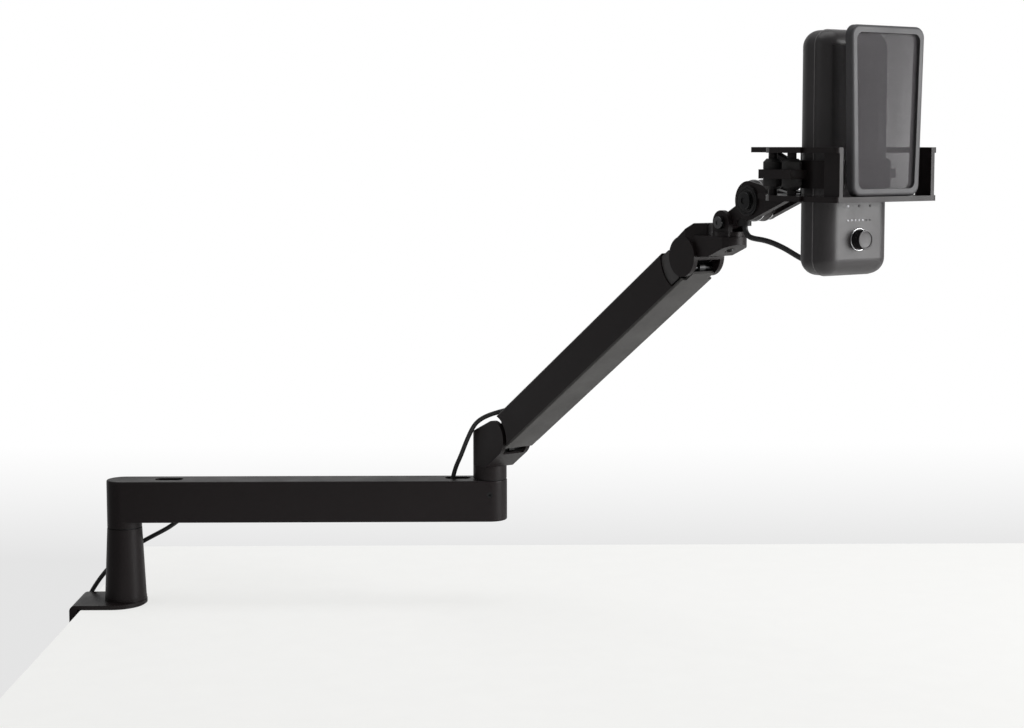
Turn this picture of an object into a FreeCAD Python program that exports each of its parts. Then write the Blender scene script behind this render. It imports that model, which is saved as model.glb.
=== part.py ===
import FreeCAD, Part
import math
import os

# Desk boom arm with a microphone in its shock mount, a pop filter and a lead. Millimetres and degrees.
# The origin is on the base post's axis, on the desk. +X runs along the lower arm, +Z is up.
# The upper arm, the head and the microphone are drawn in the pose that they rest in.

# Fits
slip = 0.05              # radial play of a pin, shaft or screw in its hole
running_gap = 0.3        # between faces that move past each other
part_line = 0.1          # between a panel and the opening that it fills

# Pose at rest
arm_yaw = -57.0
arm_tilt = 33.2
mic_yaw = -56.0

# Desk clamp
clamp_half_width = 26.0
plate_nose_x = -8.2
plate_thickness = 3.0
pad_thickness = 1.0
pad_inset = 1.5
leg_face_x = -36.0
leg_thickness = 6.5
leg_bend = 4.5
jaw_drop = 74.0
jaw_thickness = 6.0
jaw_half_width = 20.0
jaw_screw_x = -6.0
jaw_boss_radius = 10.0
jaw_boss_length = 10.0
screw_radius = 5.0
screw_socket = 2.4
grip = 28.0
jaw_pad_radius = 18.0
jaw_pad_thickness = 4.0
jaw_rubber_radius = 17.0
jaw_rubber_thickness = 1.5
screw_length = 105.0
knob_radius = 17.0
knob_height = 16.0
knob_lobes = 6
knob_scallop_radius = 6.0
knob_neck_radius = 9.0
knob_neck_height = 4.0
knob_socket = 12.0

# Base post and its spindle
foot_radius = 17.55
foot_height = 3.0
post_foot_radius = 17.35
post_top_radius = 14.6
post_height = 61.6
spindle_radius = 8.0
spindle_end_gap = 1.5
bolt_head_radius = 7.2
bolt_radius = 4.0
bolt_length = 20.0
washer_radius = 13.4
base_washer_thickness = 1.1
elbow_washer_thickness = 0.8
bush_wall = 2.4

# Lower arm
lower_reach = 310.0
beam_half_width = 14.5
beam_height = 34.9
beam_boss_height = 5.1
beam_edge = 1.2
beam_top_wall = 3.7
beam_cap_wall = 6.7
beam_floor = 3.2
channel_half_width = 10.5
channel_start = 16.5
channel_end_wall = 15.5
cover_lip = 1.5
cover_thickness = 2.2
port_width = 11.0
base_port_x = 38.3
base_port_length = 24.0
elbow_port_x = 282.6
elbow_port_y = 2.5
elbow_port_length = 22.0
exit_port_x = 46.0
exit_port_y = 3.0
exit_port_length = 14.0
exit_port_width = 8.0
magnet_radius = 4.0
magnet_height = 2.5
magnet_count = 4
magnet_y = -5.5
set_screw_radius = 2.5
set_screw_socket_radius = 1.3
set_screw_socket_depth = 1.8
set_screw_inset = 0.5
base_screw_rise = 16.0
elbow_screw_rise = 23.0

# Elbow
collar_radius = 14.2
collar_height = 11.4
elbow_pivot_reach = 27.0
elbow_pivot_rise = 26.3
elbow_disc_radius = 15.0
elbow_back = 10.5
elbow_shoulder_rise = 26.6
fork_half_width = 13.85
fork_gap_half = 10.3
fork_floor = 7.1
fork_web = 1.8
spindle_socket = 8.0
pin_skin = 1.0
pivot_pin_radius = 3.0
link_pin_radius = 2.0
hook_pin_radius = 1.8
link_offset = 9.0
link_angle = -65.0
hook_offset = 8.0
hook_angle = 115.0

# Upper arm
arm_length = 300.0
arm_half_height = 14.6
shell_top_wall = 2.2
shell_edge = 2.0
elbow_mouth_radius = 20.0
head_mouth_radius = 25.0
core_half_width = 10.0
core_wall = 2.0
core_bottom = 10.5
core_eye_radius = 5.7
core_neck = 3.0
core_top_start = 16.0
core_low_start = 22.0
core_neck_end = 12.0
core_neck_top_end = 9.0
bottom_thickness = 1.8
bottom_start = 22.0
bottom_cap_start = 11.0
bottom_cap_inset = 0.4
bottom_end_gap = 9.0
bottom_edge = 1.2
trim_depth = 2.6
notch_half_width = 3.0
notch_length = 46.0
cable_side = -5.5
spring_stop_x = 60.0
spring_stop_thickness = 2.5
spring_radius = 3.9
spring_bore = 1.9
rod_radius = 1.5
rod_line = 3.2
rod_sink = 3.4
rod_knee_x = 40.0
piston_x = 150.0
piston_radius = 4.0
piston_length = 5.0
eye_half_width = 2.5
link_eye_radius = 3.5
hook_eye_radius = 3.6

# Head block and tip joints
head_disc_radius = 14.5
head_web_radius = 10.8
slot_start_angle = 122.0
slot_end_angle = 352.0
slot_reach = 60.0
hump_start_angle = 110.0
hump_ahead = 9.9
hump_rise = 24.2
hump_end = 18.5
hump_half_width = 12.0
swivel_ahead = 37.0
shelf_rise = 15.6
nose_radius = 12.0
nose_half_width = 11.0
nose_under_start = 27.0
nose_under_rise = 1.4
nose_front_rise = 10.3
swivel_radius = 3.5
swivel_depth = 10.0
knuckle_rise = 25.6
yoke_base_radius = 11.0
yoke_base_thickness = 3.3
yoke_gap = 0.2
prong_inner = 5.0
prong_outer = 8.5
prong_radius = 8.5
pin_head_radius = 4.5
pin_head_height = 2.0
neck_half_width = 4.8
neck_eye_radius = 6.3
neck_half_height = 5.0
neck_length = 33.8
neck_angle = 28.2
hub_radius = 14.0
hub_half_width = 3.6
rim_radius = 14.4
rim_thickness = 0.8
gland_ahead = 16.0
gland_radius = 4.6
gland_drop = 2.0
gland_hole = 3.2
gland_bore = 2.5

# Shock mount, measured from the microphone's centre, +x ahead of it
hub_behind = 83.3
mic_above_hub = 32.8
ear_radius = 13.5
ear_thickness = 5.0
ear_root_x = -42.0
bolt_head_height = 3.0
hub_bolt_head_radius = 6.5
hub_knob_radius = 9.0
hub_knob_height = 10.0
hub_knob_lobes = 8
hub_knob_scallop = 2.2
mount_plate_thickness = 3.6
lower_plate_below = 30.7
upper_plate_above = 0.3
mount_half_width = 47.0
mount_arm_inner = 35.0
mount_front = 9.0
mount_corner_x = -20.0
mount_bay_back = 28.0
mount_bay_corner = 10.0
lower_tail = 66.0
upper_tail = 73.0
tail_half_width = 16.0
spine_x = -37.0
spine_thickness = 6.0
spine_half_width = 4.0
strut_half_width = 3.0
post_radius = 3.0
post_side = 40.0
post_places = (-6.0, -24.0)
isolator_radius = 6.4
isolator_groove_radius = 5.0
isolator_half_height = 10.0
isolator_round = 2.2
tongue_half_height = 3.0
tongue_margin = 6.3
cradle_wall = 3.2
cradle_half_height = 9.0

# Microphone
mic_width = 60.0
mic_depth = 30.0
mic_height = 158.0
mic_corner = 12.0
mic_edge = 11.0
mic_wall = 2.5
seam_x = 3.4
grille_half_width = 24.0
grille_low = -11.5
grille_high = 69.0
capsule_radius = 14.0
capsule_thickness = 10.0
capsule_rise = 41.0
capsule_stem_radius = 4.0
dial_drop = 55.6
dial_radius = 6.3
dial_height = 5.2
dial_travel_gap = 1.2
dial_skirt = 1.2
stem_radius = 2.5
stem_back = 5.0
stem_flange_radius = 4.0
stem_flange_thickness = 2.0
stem_flange_gap = 2.0
plug_half_width = 5.5
plug_half_height = 3.2
plug_length = 7.0
relief_length = 5.0
relief_radius = 3.0
port_drop = 71.5

# Pop filter
filter_gap = 0.8
filter_front = 40.0
filter_wall_inner = 39.0
filter_wall = 3.0
filter_half_width = 45.0
filter_round = 3.0
filter_bar_back = 31.0
filter_web_back = 26.0
panel_width = 58.8
panel_top_width = 65.4
panel_height = 107.6
panel_depth = 5.6
panel_ahead = 36.4
panel_border = 4.7
panel_corner = 7.0
panel_round = 2.2
mesh_thickness = 0.8
mesh_setback = 1.6

# Lead
cable_radius = 1.9
coil_radius = 28.0
coil_pitch = 4.4
coil_half_turns = 6
coil_gap = 1.4
coil_drop = 90.0
coil_side = 32.0
coil_lead_in = 3.8
coil_tail = 25.0
tie_width = 6.0
tie_wall = 0.8
usb_half_width = 6.0
usb_half_depth = 3.5
usb_length = 20.0
usb_relief_length = 8.0
usb_tip_half_width = 4.2
usb_tip_half_depth = 1.3
usb_tip_length = 6.5

# Heights and places that follow from the sizes above
V = FreeCAD.Vector
plate_top = pad_thickness + plate_thickness
leg_outer_x = leg_face_x - leg_thickness
post_top = plate_top + post_height
boss_bottom = post_top + base_washer_thickness
beam_bottom = boss_bottom + beam_boss_height
beam_top = beam_bottom + beam_height
beam_bore_top = beam_top - beam_cap_wall
bush_radius = spindle_radius + slip + bush_wall
collar_bottom = beam_top + elbow_washer_thickness
collar_top = collar_bottom + collar_height
elbow_pivot = (elbow_pivot_reach, collar_top + elbow_pivot_rise)
tilt_cos = math.cos(math.radians(arm_tilt))
tilt_sin = math.sin(math.radians(arm_tilt))
head_pivot = (elbow_pivot[0] + arm_length * tilt_cos, elbow_pivot[1] + arm_length * tilt_sin)
knuckle_reach = head_pivot[0] + swivel_ahead
knuckle_z = head_pivot[1] + knuckle_rise
shelf_z = head_pivot[1] + shelf_rise
hub_ahead = neck_length * math.cos(math.radians(neck_angle))
hub_z = knuckle_z + neck_length * math.sin(math.radians(neck_angle))
mic_z = hub_z + mic_above_hub
lower_plate_bottom = mic_z - lower_plate_below
lower_plate_top = lower_plate_bottom + mount_plate_thickness
upper_plate_bottom = mic_z + upper_plate_above
upper_plate_top = upper_plate_bottom + mount_plate_thickness
suspension_z = (lower_plate_top + upper_plate_bottom) / 2


def turn_about_z(angle, place):
    return FreeCAD.Placement(place, FreeCAD.Rotation(V(0, 0, 1), angle))


# Frames: the elbow's has x along the upper arm in plan, the arm's has x along the arm itself,
# the tip's and the microphone's have x the way that the microphone faces. All but the arm's keep heights.
WORLD = FreeCAD.Placement()
ELBOW = turn_about_z(arm_yaw, V(lower_reach, 0, 0))
ARM = ELBOW.multiply(
    FreeCAD.Placement(V(elbow_pivot[0], 0, elbow_pivot[1]), FreeCAD.Rotation(V(0, 1, 0), -arm_tilt))
)
knuckle_place = ELBOW.multVec(V(knuckle_reach, 0, 0))
TIP = turn_about_z(mic_yaw, knuckle_place)
MIC = turn_about_z(mic_yaw, TIP.multVec(V(hub_ahead + hub_behind, 0, 0)))


def placed(shape, frame):
    copy = shape.copy()
    copy.Placement = frame.multiply(copy.Placement)
    return copy


def save(name, shape):
    shape.exportStep(f"parts/{name}.step")


def group(shapes):
    return Part.makeCompound(shapes)


def box(x0, x1, y0, y1, z0, z1):
    return Part.makeBox(x1 - x0, y1 - y0, z1 - z0, V(x0, y0, z0))


def upright(radius, z0, z1, x=0.0, y=0.0):
    return Part.makeCylinder(radius, z1 - z0, V(x, y, z0))


def ring(outer, inner, z0, z1, x=0.0, y=0.0):
    return upright(outer, z0, z1, x, y).cut(upright(inner, z0, z1, x, y))


def cross_rod(radius, y0, y1, x, z):
    return Part.makeCylinder(radius, y1 - y0, V(x, y0, z), V(0, 1, 0))


def along_x(radius, x0, x1, y, z):
    return Part.makeCylinder(radius, x1 - x0, V(x0, y, z), V(1, 0, 0))


def fused(*shapes):
    return shapes[0].multiFuse(list(shapes[1:])).removeSplitter()


def closed_wire(points, lift):
    """Wire through points: a pair is a corner, and two pairs are an arc's middle and end."""
    edges = []
    here = points[0]
    for step in list(points[1:]) + [points[0]]:
        bent = isinstance(step[0], tuple)
        there = step[1] if bent else step
        if bent:
            edges.append(Part.Arc(lift(*here), lift(*step[0]), lift(*there)).toShape())
        elif math.dist(here, there) > 1e-6:
            edges.append(Part.LineSegment(lift(*here), lift(*there)).toShape())
        here = there
    return Part.Wire(edges)


def slab(points, z0, z1):
    """A plan outline in x and y, from z0 up to z1."""
    face = Part.Face(closed_wire(points, lambda x, y: V(x, y, z0)))
    return face.extrude(V(0, 0, z1 - z0))


def side_slab(points, y0, y1):
    """A side outline in x and z, from y0 to y1."""
    face = Part.Face(closed_wire(points, lambda x, z: V(x, y0, z)))
    return face.extrude(V(0, y1 - y0, 0))


def turned(points, x=0.0, y=0.0):
    """A profile of radius and height, turned about an upright axis."""
    face = Part.Face(closed_wire(points, lambda radius, z: V(x + radius, y, z)))
    return face.revolve(V(x, y, 0), V(0, 0, 1), 360)


def polar(centre, radius, angle):
    return (
        centre[0] + radius * math.cos(math.radians(angle)),
        centre[1] + radius * math.sin(math.radians(angle)),
    )


def touch_angle(centre, radius, point, side):
    """Angle on a circle where the straight line from point touches it."""
    away = math.atan2(point[1] - centre[1], point[0] - centre[0])
    return math.degrees(away + side * math.acos(radius / math.dist(centre, point)))


def oval(x, y, length, width, z0, z1):
    reach = (length - width) / 2
    half = width / 2
    outline = [
        (x - reach, y - half),
        (x + reach, y - half),
        ((x + reach + half, y), (x + reach, y + half)),
        (x - reach, y + half),
        ((x - reach - half, y), (x - reach, y - half)),
    ]
    return slab(outline, z0, z1)


def rounded(a, b, corner):
    """Outline of a rectangle of sides a and b about 0, with round corners."""
    x = a / 2
    y = b / 2
    nip = corner * (1 - math.sqrt(0.5))
    return [
        (-x + corner, -y),
        (x - corner, -y),
        ((x - nip, -y + nip), (x, -y + corner)),
        (x, y - corner),
        ((x - nip, y - nip), (x - corner, y)),
        (-x + corner, y),
        ((-x + nip, y - nip), (-x, y - corner)),
        (-x, -y + corner),
        ((-x + nip, -y + nip), (-x + corner, -y)),
    ]


def rounded_front(length, height, corner, x0, x1, z):
    """A rounded rectangle that faces along x, length across and height up, centred on z."""
    face = Part.Face(closed_wire(rounded(length, height, corner), lambda y, up: V(x0, y, z + up)))
    return face.extrude(V(x1 - x0, 0, 0))


def eased(shape, radius, wanted):
    edges = [edge for edge in shape.Edges if wanted(edge.BoundBox)]
    return shape.makeFillet(radius, edges)


def lobed(radius, height, lobes, scallop, z):
    """A hand knob with scallops cut round it."""
    knob = upright(radius, z, z + height)
    for k in range(lobes):
        x, y = polar((0, 0), radius + scallop / 2, 360 / lobes * k)
        knob = knob.cut(upright(scallop, z, z + height, x, y))
    return knob


# Desk clamp


def nosed_plate(x0, nose_x, half, z0, z1):
    """A plate with a half-round nose."""
    return slab([(x0, -half), (nose_x, -half), ((nose_x + half, 0), (nose_x, half)), (x0, half)], z0, z1)


def make_clamp():
    jaw_bottom = -jaw_drop - jaw_thickness
    boss_end = jaw_bottom - jaw_boss_length
    plate = nosed_plate(leg_outer_x, plate_nose_x, clamp_half_width, pad_thickness, plate_top)
    leg = box(leg_outer_x, leg_face_x, -clamp_half_width, clamp_half_width, jaw_bottom, plate_top)
    jaw = nosed_plate(leg_outer_x, jaw_screw_x, jaw_half_width, jaw_bottom, -jaw_drop)
    boss = upright(jaw_boss_radius, boss_end, jaw_bottom, jaw_screw_x)
    bracket = fused(plate, leg, jaw, boss)
    bracket = bracket.cut(upright(screw_radius + slip, boss_end, -jaw_drop, jaw_screw_x))
    sink = Part.makeCone(bolt_head_radius + slip, bolt_radius + slip, plate_thickness, V(0, 0, pad_thickness))
    bracket = bracket.cut(sink)

    def outer_bend(bounds):
        level = abs(bounds.ZMax - plate_top) < 1e-4 or abs(bounds.ZMin - jaw_bottom) < 1e-4
        return level and abs(bounds.XMax - leg_outer_x) < 1e-4 and bounds.ZLength < 1e-4

    save("clamp_bracket", eased(bracket, leg_bend, outer_bend))
    pad_half = clamp_half_width - pad_inset
    save("clamp_pad_top", nosed_plate(leg_face_x + pad_inset, plate_nose_x, pad_half, 0, pad_thickness))

    pad_top = -grip - jaw_rubber_thickness
    pad_bottom = pad_top - jaw_pad_thickness
    pad = upright(jaw_pad_radius, pad_bottom, pad_top, jaw_screw_x)
    pad = pad.cut(upright(screw_radius + slip, pad_bottom, pad_bottom + screw_socket, jaw_screw_x))
    save("clamp_jaw_pad", pad)
    save("clamp_jaw_rubber", upright(jaw_rubber_radius, pad_top, -grip, jaw_screw_x))

    screw_top = pad_bottom + screw_socket - slip
    screw_bottom = screw_top - screw_length
    save("clamp_screw", upright(screw_radius, screw_bottom, screw_top, jaw_screw_x))
    neck_bottom = screw_bottom + knob_socket - knob_neck_height
    knob = fused(
        lobed(knob_radius, knob_height, knob_lobes, knob_scallop_radius, neck_bottom - knob_height),
        upright(knob_neck_radius, neck_bottom, neck_bottom + knob_neck_height),
    )
    knob = knob.cut(upright(screw_radius + slip, screw_bottom, neck_bottom + knob_neck_height))
    knob.translate(V(jaw_screw_x, 0, 0))
    save("clamp_knob", knob)


# Base post


def make_base():
    bore = spindle_radius + slip
    profile = [
        (bore, plate_top),
        (foot_radius, plate_top),
        (foot_radius, plate_top + foot_height),
        (post_foot_radius, plate_top + foot_height),
        (post_top_radius, post_top),
        (bore, post_top),
    ]
    save("base_post", turned(profile))
    spindle = upright(spindle_radius, plate_top, beam_bore_top - spindle_end_gap)
    spindle = spindle.cut(upright(bolt_radius + slip, plate_top, plate_top + bolt_length + slip))
    save("base_spindle", spindle)
    head = Part.makeCone(bolt_head_radius, bolt_radius, plate_thickness, V(0, 0, pad_thickness))
    save("base_bolt", fused(head, upright(bolt_radius, plate_top, plate_top + bolt_length)))
    save("base_washer", ring(washer_radius, bore, post_top, boss_bottom))


# Lower arm


def set_screw(x, z, side):
    """A socket set screw that points at an upright axis from the side given as 1 or -1 in y."""
    inner = bush_radius + 2 * slip
    outer = beam_half_width - set_screw_inset
    screw = cross_rod(set_screw_radius, inner, outer, x, z)
    socket = [polar((x, z), set_screw_socket_radius, 60 * k) for k in range(6)]
    screw = screw.cut(side_slab(socket, outer - set_screw_socket_depth, outer))
    if side < 0:
        screw.rotate(V(x, 0, z), V(0, 0, 1), 180)
    return screw


def make_lower_arm():
    r = beam_half_width
    beam = oval(lower_reach / 2, 0, lower_reach + 2 * r, 2 * r, beam_bottom, beam_top)
    beam = beam.makeFillet(beam_edge, [e for e in beam.Edges if e.BoundBox.ZLength < 1e-4])
    beam = fused(beam, upright(r, boss_bottom, beam_bottom + beam_edge))

    bore = bush_radius + slip
    channel_end = lower_reach - channel_end_wall
    cover_half = channel_half_width + cover_lip
    cover_top = beam_bottom + cover_thickness
    roof = beam_top - beam_top_wall
    base_screw_z = beam_bottom + base_screw_rise
    elbow_screw_z = beam_bottom + elbow_screw_rise
    hollows = [
        upright(bore, boss_bottom, beam_bore_top),
        upright(bore, beam_bottom + beam_floor, beam_top, lower_reach),
        box(channel_start, channel_end, -channel_half_width, channel_half_width, beam_bottom, roof),
        box(channel_start, channel_end, -cover_half, cover_half, beam_bottom, cover_top),
        oval(base_port_x, 0, base_port_length, port_width, roof, beam_top),
        oval(elbow_port_x, elbow_port_y, elbow_port_length, port_width, roof, beam_top),
        cross_rod(set_screw_radius + slip, 0, r, 0, base_screw_z),
        cross_rod(set_screw_radius + slip, -r, 0, lower_reach, elbow_screw_z),
    ]
    save("lower_beam", beam.cut(hollows))

    cover = box(
        channel_start + part_line, channel_end - part_line,
        -cover_half + part_line, cover_half - part_line,
        beam_bottom, cover_top,
    )
    lead_port = oval(exit_port_x, exit_port_y, exit_port_length, exit_port_width, beam_bottom, cover_top)
    save("lower_cover", cover.cut(lead_port))
    span = (channel_end - exit_port_x) / (magnet_count + 1)
    magnets = [
        upright(magnet_radius, cover_top, cover_top + magnet_height, exit_port_x + span * (k + 1), magnet_y)
        for k in range(magnet_count)
    ]
    save("cover_magnets", group(magnets))

    bush_bore = spindle_radius + slip
    bushes = [
        ring(bush_radius, bush_bore, boss_bottom, beam_bore_top),
        ring(bush_radius, bush_bore, beam_bottom + beam_floor, beam_top, lower_reach),
    ]
    save("beam_bushes", group(bushes))
    save("set_screws", group([set_screw(0, base_screw_z, 1), set_screw(lower_reach, elbow_screw_z, -1)]))


# Elbow


def blind_pin(radius, centre):
    """A cross pin let in from one cheek, short of the other cheek's face."""
    return cross_rod(radius, -fork_half_width + pin_skin + slip, fork_half_width - slip, centre[0], centre[1])


def blind_bore(radius, centre):
    return cross_rod(radius + slip, -fork_half_width + pin_skin, fork_half_width, centre[0], centre[1])


def fork_pins(pivots):
    return [blind_pin(radius, centre) for radius, centre in pivots]


elbow_pins = [
    (pivot_pin_radius, elbow_pivot),
    (link_pin_radius, polar(elbow_pivot, link_offset, link_angle)),
    (hook_pin_radius, polar(elbow_pivot, hook_offset, hook_angle)),
]
head_pins = [
    (pivot_pin_radius, head_pivot),
    (link_pin_radius, polar(head_pivot, link_offset, link_angle)),
]


def make_elbow():
    front = (collar_radius, collar_top)
    shoulder = (-elbow_back, collar_top + elbow_shoulder_rise)
    low = touch_angle(elbow_pivot, elbow_disc_radius, front, 1) - 360
    high = touch_angle(elbow_pivot, elbow_disc_radius, shoulder, -1)
    low = low if low > -180 else low + 360

    def on_disc(angle):
        return polar(elbow_pivot, elbow_disc_radius, angle)

    outline = [
        (-elbow_back, collar_top),
        front,
        on_disc(low),
        (on_disc((low + high) / 2), on_disc(high)),
        shoulder,
    ]
    top = elbow_pivot[1] + 2 * elbow_disc_radius
    reach = elbow_pivot[0] + 2 * elbow_disc_radius
    cheeks = side_slab(outline, -fork_half_width, fork_half_width)
    cheeks = cheeks.common(
        fused(
            upright(collar_radius, collar_top, top),
            box(0, reach, -fork_half_width, fork_half_width, collar_top, top),
        )
    )
    block = fused(upright(collar_radius, collar_bottom, collar_top), cheeks)

    floor_z = collar_top + fork_floor
    inner = polar(elbow_pivot, elbow_disc_radius - fork_web, low)
    slope = math.tan(math.radians(low + 90))
    slot = [
        (-reach, floor_z),
        (inner[0] - (inner[1] - floor_z) / slope, floor_z),
        inner,
        polar(elbow_pivot, reach, low),
        (2 * reach, 2 * top),
        (-reach, 2 * top),
    ]
    block = block.cut(side_slab(slot, -fork_gap_half, fork_gap_half))
    block = block.cut([blind_bore(radius, centre) for radius, centre in elbow_pins])
    spindle_top = collar_bottom + spindle_socket
    block = block.cut(upright(spindle_radius + slip, collar_bottom, spindle_top))
    save("elbow_block", placed(block, ELBOW))
    spindle = upright(spindle_radius, beam_bottom + beam_floor + spindle_end_gap, spindle_top - slip)
    save("elbow_spindle", placed(spindle, ELBOW))
    save("elbow_washer", placed(ring(washer_radius, spindle_radius + slip, beam_top, collar_bottom), ELBOW))
    save("elbow_pins", placed(group(fork_pins(elbow_pins)), ELBOW))


# Upper arm, drawn along x from the elbow pivot at 0 to the head pivot at arm_length


def mirrored_x(points):
    return [(arm_length - x, z) for x, z in reversed(points)]


def make_arm_core():
    top = arm_half_height - shell_top_wall
    upper = [(0, core_neck), (core_neck_top_end, core_neck), (core_top_start, top)]
    lower = [(0, -core_neck), (core_neck_end, -core_neck), (core_low_start, -core_bottom)]
    outline = upper + mirrored_x(upper) + list(reversed(lower + mirrored_x(lower)))
    inner = core_half_width - core_wall
    walls = []
    for y in (-core_half_width, inner):
        wall = side_slab(outline, y, y + core_wall)
        eyes = [cross_rod(core_eye_radius, y, y + core_wall, x, 0) for x in (0, arm_length)]
        walls.append(fused(wall, *eyes))
    roof = box(core_top_start, arm_length - core_top_start, -inner, inner, top - core_wall, top)
    slot_low = rod_line - rod_radius - rod_sink
    stop_low = slot_low - core_wall
    stop = box(spring_stop_x, spring_stop_x + spring_stop_thickness, -inner, inner, stop_low, top - core_wall)
    rod_play = rod_radius + link_pin_radius
    stop = stop.cut(
        box(0, arm_length, -rod_play, rod_play, slot_low, rod_line + rod_play)
    )
    core = fused(walls[0], walls[1], roof, stop)
    bore = pivot_pin_radius + slip
    core = core.cut([cross_rod(bore, -core_half_width, core_half_width, x, 0) for x in (0, arm_length)])
    core = core.cut(cable_notch(top - core_wall, top))
    stop_end = spring_stop_x + spring_stop_thickness
    core = core.cut(along_x(cable_radius + running_gap, spring_stop_x, stop_end, *arm_lead_line()))
    save("arm_core", placed(core, ARM))


def cable_notch(z0, z1):
    """The slot in the arm's top where the lead goes in."""
    return box(0, notch_length, cable_side - notch_half_width, cable_side + notch_half_width, z0, z1)


def arm_lead_line():
    """Side place and height of the lead inside the arm."""
    return (cable_side, arm_half_height - shell_top_wall - core_wall - cable_radius - running_gap)


def make_arm_shell():
    half = fork_half_width
    shell = box(0, arm_length, -half, half, -arm_half_height + bottom_thickness, arm_half_height)

    def top_edge(bounds):
        return abs(bounds.ZMin - arm_half_height) < 1e-4 and bounds.XLength > half * 3

    shell = eased(shell, shell_edge, top_edge)
    top = arm_half_height - shell_top_wall
    shell = shell.cut(
        [
            box(0, arm_length, -core_half_width, core_half_width, -arm_half_height, top),
            cross_rod(elbow_mouth_radius, -half, half, 0, 0),
            cross_rod(head_mouth_radius, -half, half, arm_length, 0),
            cable_notch(top, arm_half_height),
        ]
    )
    save("upper_shell", placed(shell, ARM))

    ring_inner = head_disc_radius + running_gap * 2
    trims = []
    for y in (-core_half_width - trim_depth, core_half_width):
        disc = cross_rod(head_mouth_radius - part_line, y, y + trim_depth, arm_length, 0)
        disc = disc.cut(cross_rod(ring_inner, y, y + trim_depth, arm_length, 0))
        limit = box(
            arm_length - head_mouth_radius, arm_length - core_neck_end,
            y, y + trim_depth,
            -core_bottom, arm_half_height - shell_top_wall,
        )
        trims.append(disc.common(limit))
    save("arm_trims", placed(group(trims), ARM))

    bottom = -arm_half_height
    plate = box(bottom_start, arm_length - bottom_end_gap, -half, half, bottom, bottom + bottom_thickness)

    def low_edge(bounds):
        return abs(bounds.ZMax - bottom) < 1e-4 and bounds.XLength > half * 3

    plate = eased(plate, bottom_edge, low_edge)
    inset = half - bottom_cap_inset
    cap = box(
        bottom_cap_start, bottom_start, -inset, inset, bottom + bottom_cap_inset, bottom + bottom_thickness
    )
    tongue_half = core_half_width - running_gap
    tongue = box(
        arm_length - bottom_end_gap, arm_length, -tongue_half, tongue_half, bottom, bottom + bottom_thickness
    )
    save("upper_cover", placed(fused(plate, cap, tongue), ARM))


def make_balance():
    """The counterbalance spring on its hook rod, and the link that keeps the head level."""
    hook = polar((0, 0), hook_offset, hook_angle - arm_tilt)
    knee = V(rod_knee_x, 0, rod_line)
    start = V(hook[0], 0, hook[1])
    slope = knee - start
    shank = Part.makeCylinder(rod_radius, slope.Length, start, slope)
    rod = fused(
        cross_rod(hook_eye_radius, -eye_half_width, eye_half_width, hook[0], hook[1]),
        shank,
        Part.makeSphere(rod_radius, knee),
        along_x(rod_radius, rod_knee_x, piston_x, 0, rod_line),
        along_x(piston_radius, piston_x - piston_length, piston_x, 0, rod_line),
    )
    rod = rod.cut(cross_rod(hook_pin_radius + slip, -eye_half_width, eye_half_width, hook[0], hook[1]))
    save("spring_rod", placed(rod, ARM))
    spring_start = spring_stop_x + spring_stop_thickness + slip
    spring_end = piston_x - piston_length - slip
    spring = along_x(spring_radius, spring_start, spring_end, 0, rod_line)
    spring = spring.cut(along_x(spring_bore, spring_start, spring_end, 0, rod_line))
    save("counter_spring", placed(spring, ARM))

    low = polar((0, 0), link_offset, link_angle - arm_tilt)
    ends = (low[0], low[0] + arm_length)
    link = fused(
        along_x(rod_radius, ends[0], ends[1], 0, low[1]),
        *[cross_rod(link_eye_radius, -eye_half_width, eye_half_width, x, low[1]) for x in ends],
    )
    bore = link_pin_radius + slip
    link = link.cut([cross_rod(bore, -eye_half_width, eye_half_width, x, low[1]) for x in ends])
    save("tie_link", placed(link, ARM))


# Head block


def make_head():
    r, z = head_pivot
    hump_start = polar(head_pivot, head_disc_radius, hump_start_angle)
    hump = [
        head_pivot,
        polar(head_pivot, head_disc_radius, 0),
        (r + hump_end, z + nose_under_rise),
        (r + hump_end, z + hump_rise),
        (r + hump_ahead, z + hump_rise),
        hump_start,
    ]
    nose_front = knuckle_reach + nose_radius
    nose = [
        polar(head_pivot, head_web_radius + core_wall, 0),
        (r + nose_under_start, z + nose_under_rise),
        (nose_front, z + nose_front_rise),
        (nose_front, shelf_z),
        (r + hump_ahead, shelf_z),
    ]
    width = fork_half_width
    barrel = cross_rod(head_disc_radius, -width, width, r, z)
    body = side_slab(hump, -width, width)
    taper = (width - hump_half_width, hump_end - head_disc_radius + hump_half_width)
    for side in (-1, 1):
        corner = [
            (r + hump_end, side * (width + 1)),
            (r + hump_end, side * (width - taper[1] / 2)),
            (r + hump_end - taper[1], side * (width + 1)),
        ]
        body = body.cut(slab(corner, z - head_disc_radius, z + 2 * hump_rise))
    tongue = side_slab(nose, -nose_half_width, nose_half_width)
    nose_plan = fused(
        upright(nose_radius, z - nose_radius, shelf_z, knuckle_reach),
        box(r, knuckle_reach, -nose_half_width, nose_half_width, z - nose_radius, shelf_z),
    )
    block = fused(barrel, body, tongue.common(nose_plan))
    middle = (slot_start_angle + slot_end_angle) / 2
    sector = [
        head_pivot,
        polar(head_pivot, slot_reach, slot_start_angle),
        polar(head_pivot, slot_reach * 2, middle),
        polar(head_pivot, slot_reach, slot_end_angle),
    ]
    gap = fork_gap_half
    block = block.cut([side_slab(sector, -gap, gap), cross_rod(head_web_radius, -gap, gap, r, z)])
    block = block.cut([blind_bore(radius, centre) for radius, centre in head_pins])
    block = block.cut(upright(swivel_radius + slip, z - nose_radius, shelf_z, knuckle_reach))
    save("head_block", placed(block, ELBOW))
    save("head_pins", placed(group(fork_pins(head_pins)), ELBOW))


# Tip joints, drawn with x the way that the microphone faces, from the swivel axis


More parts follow.
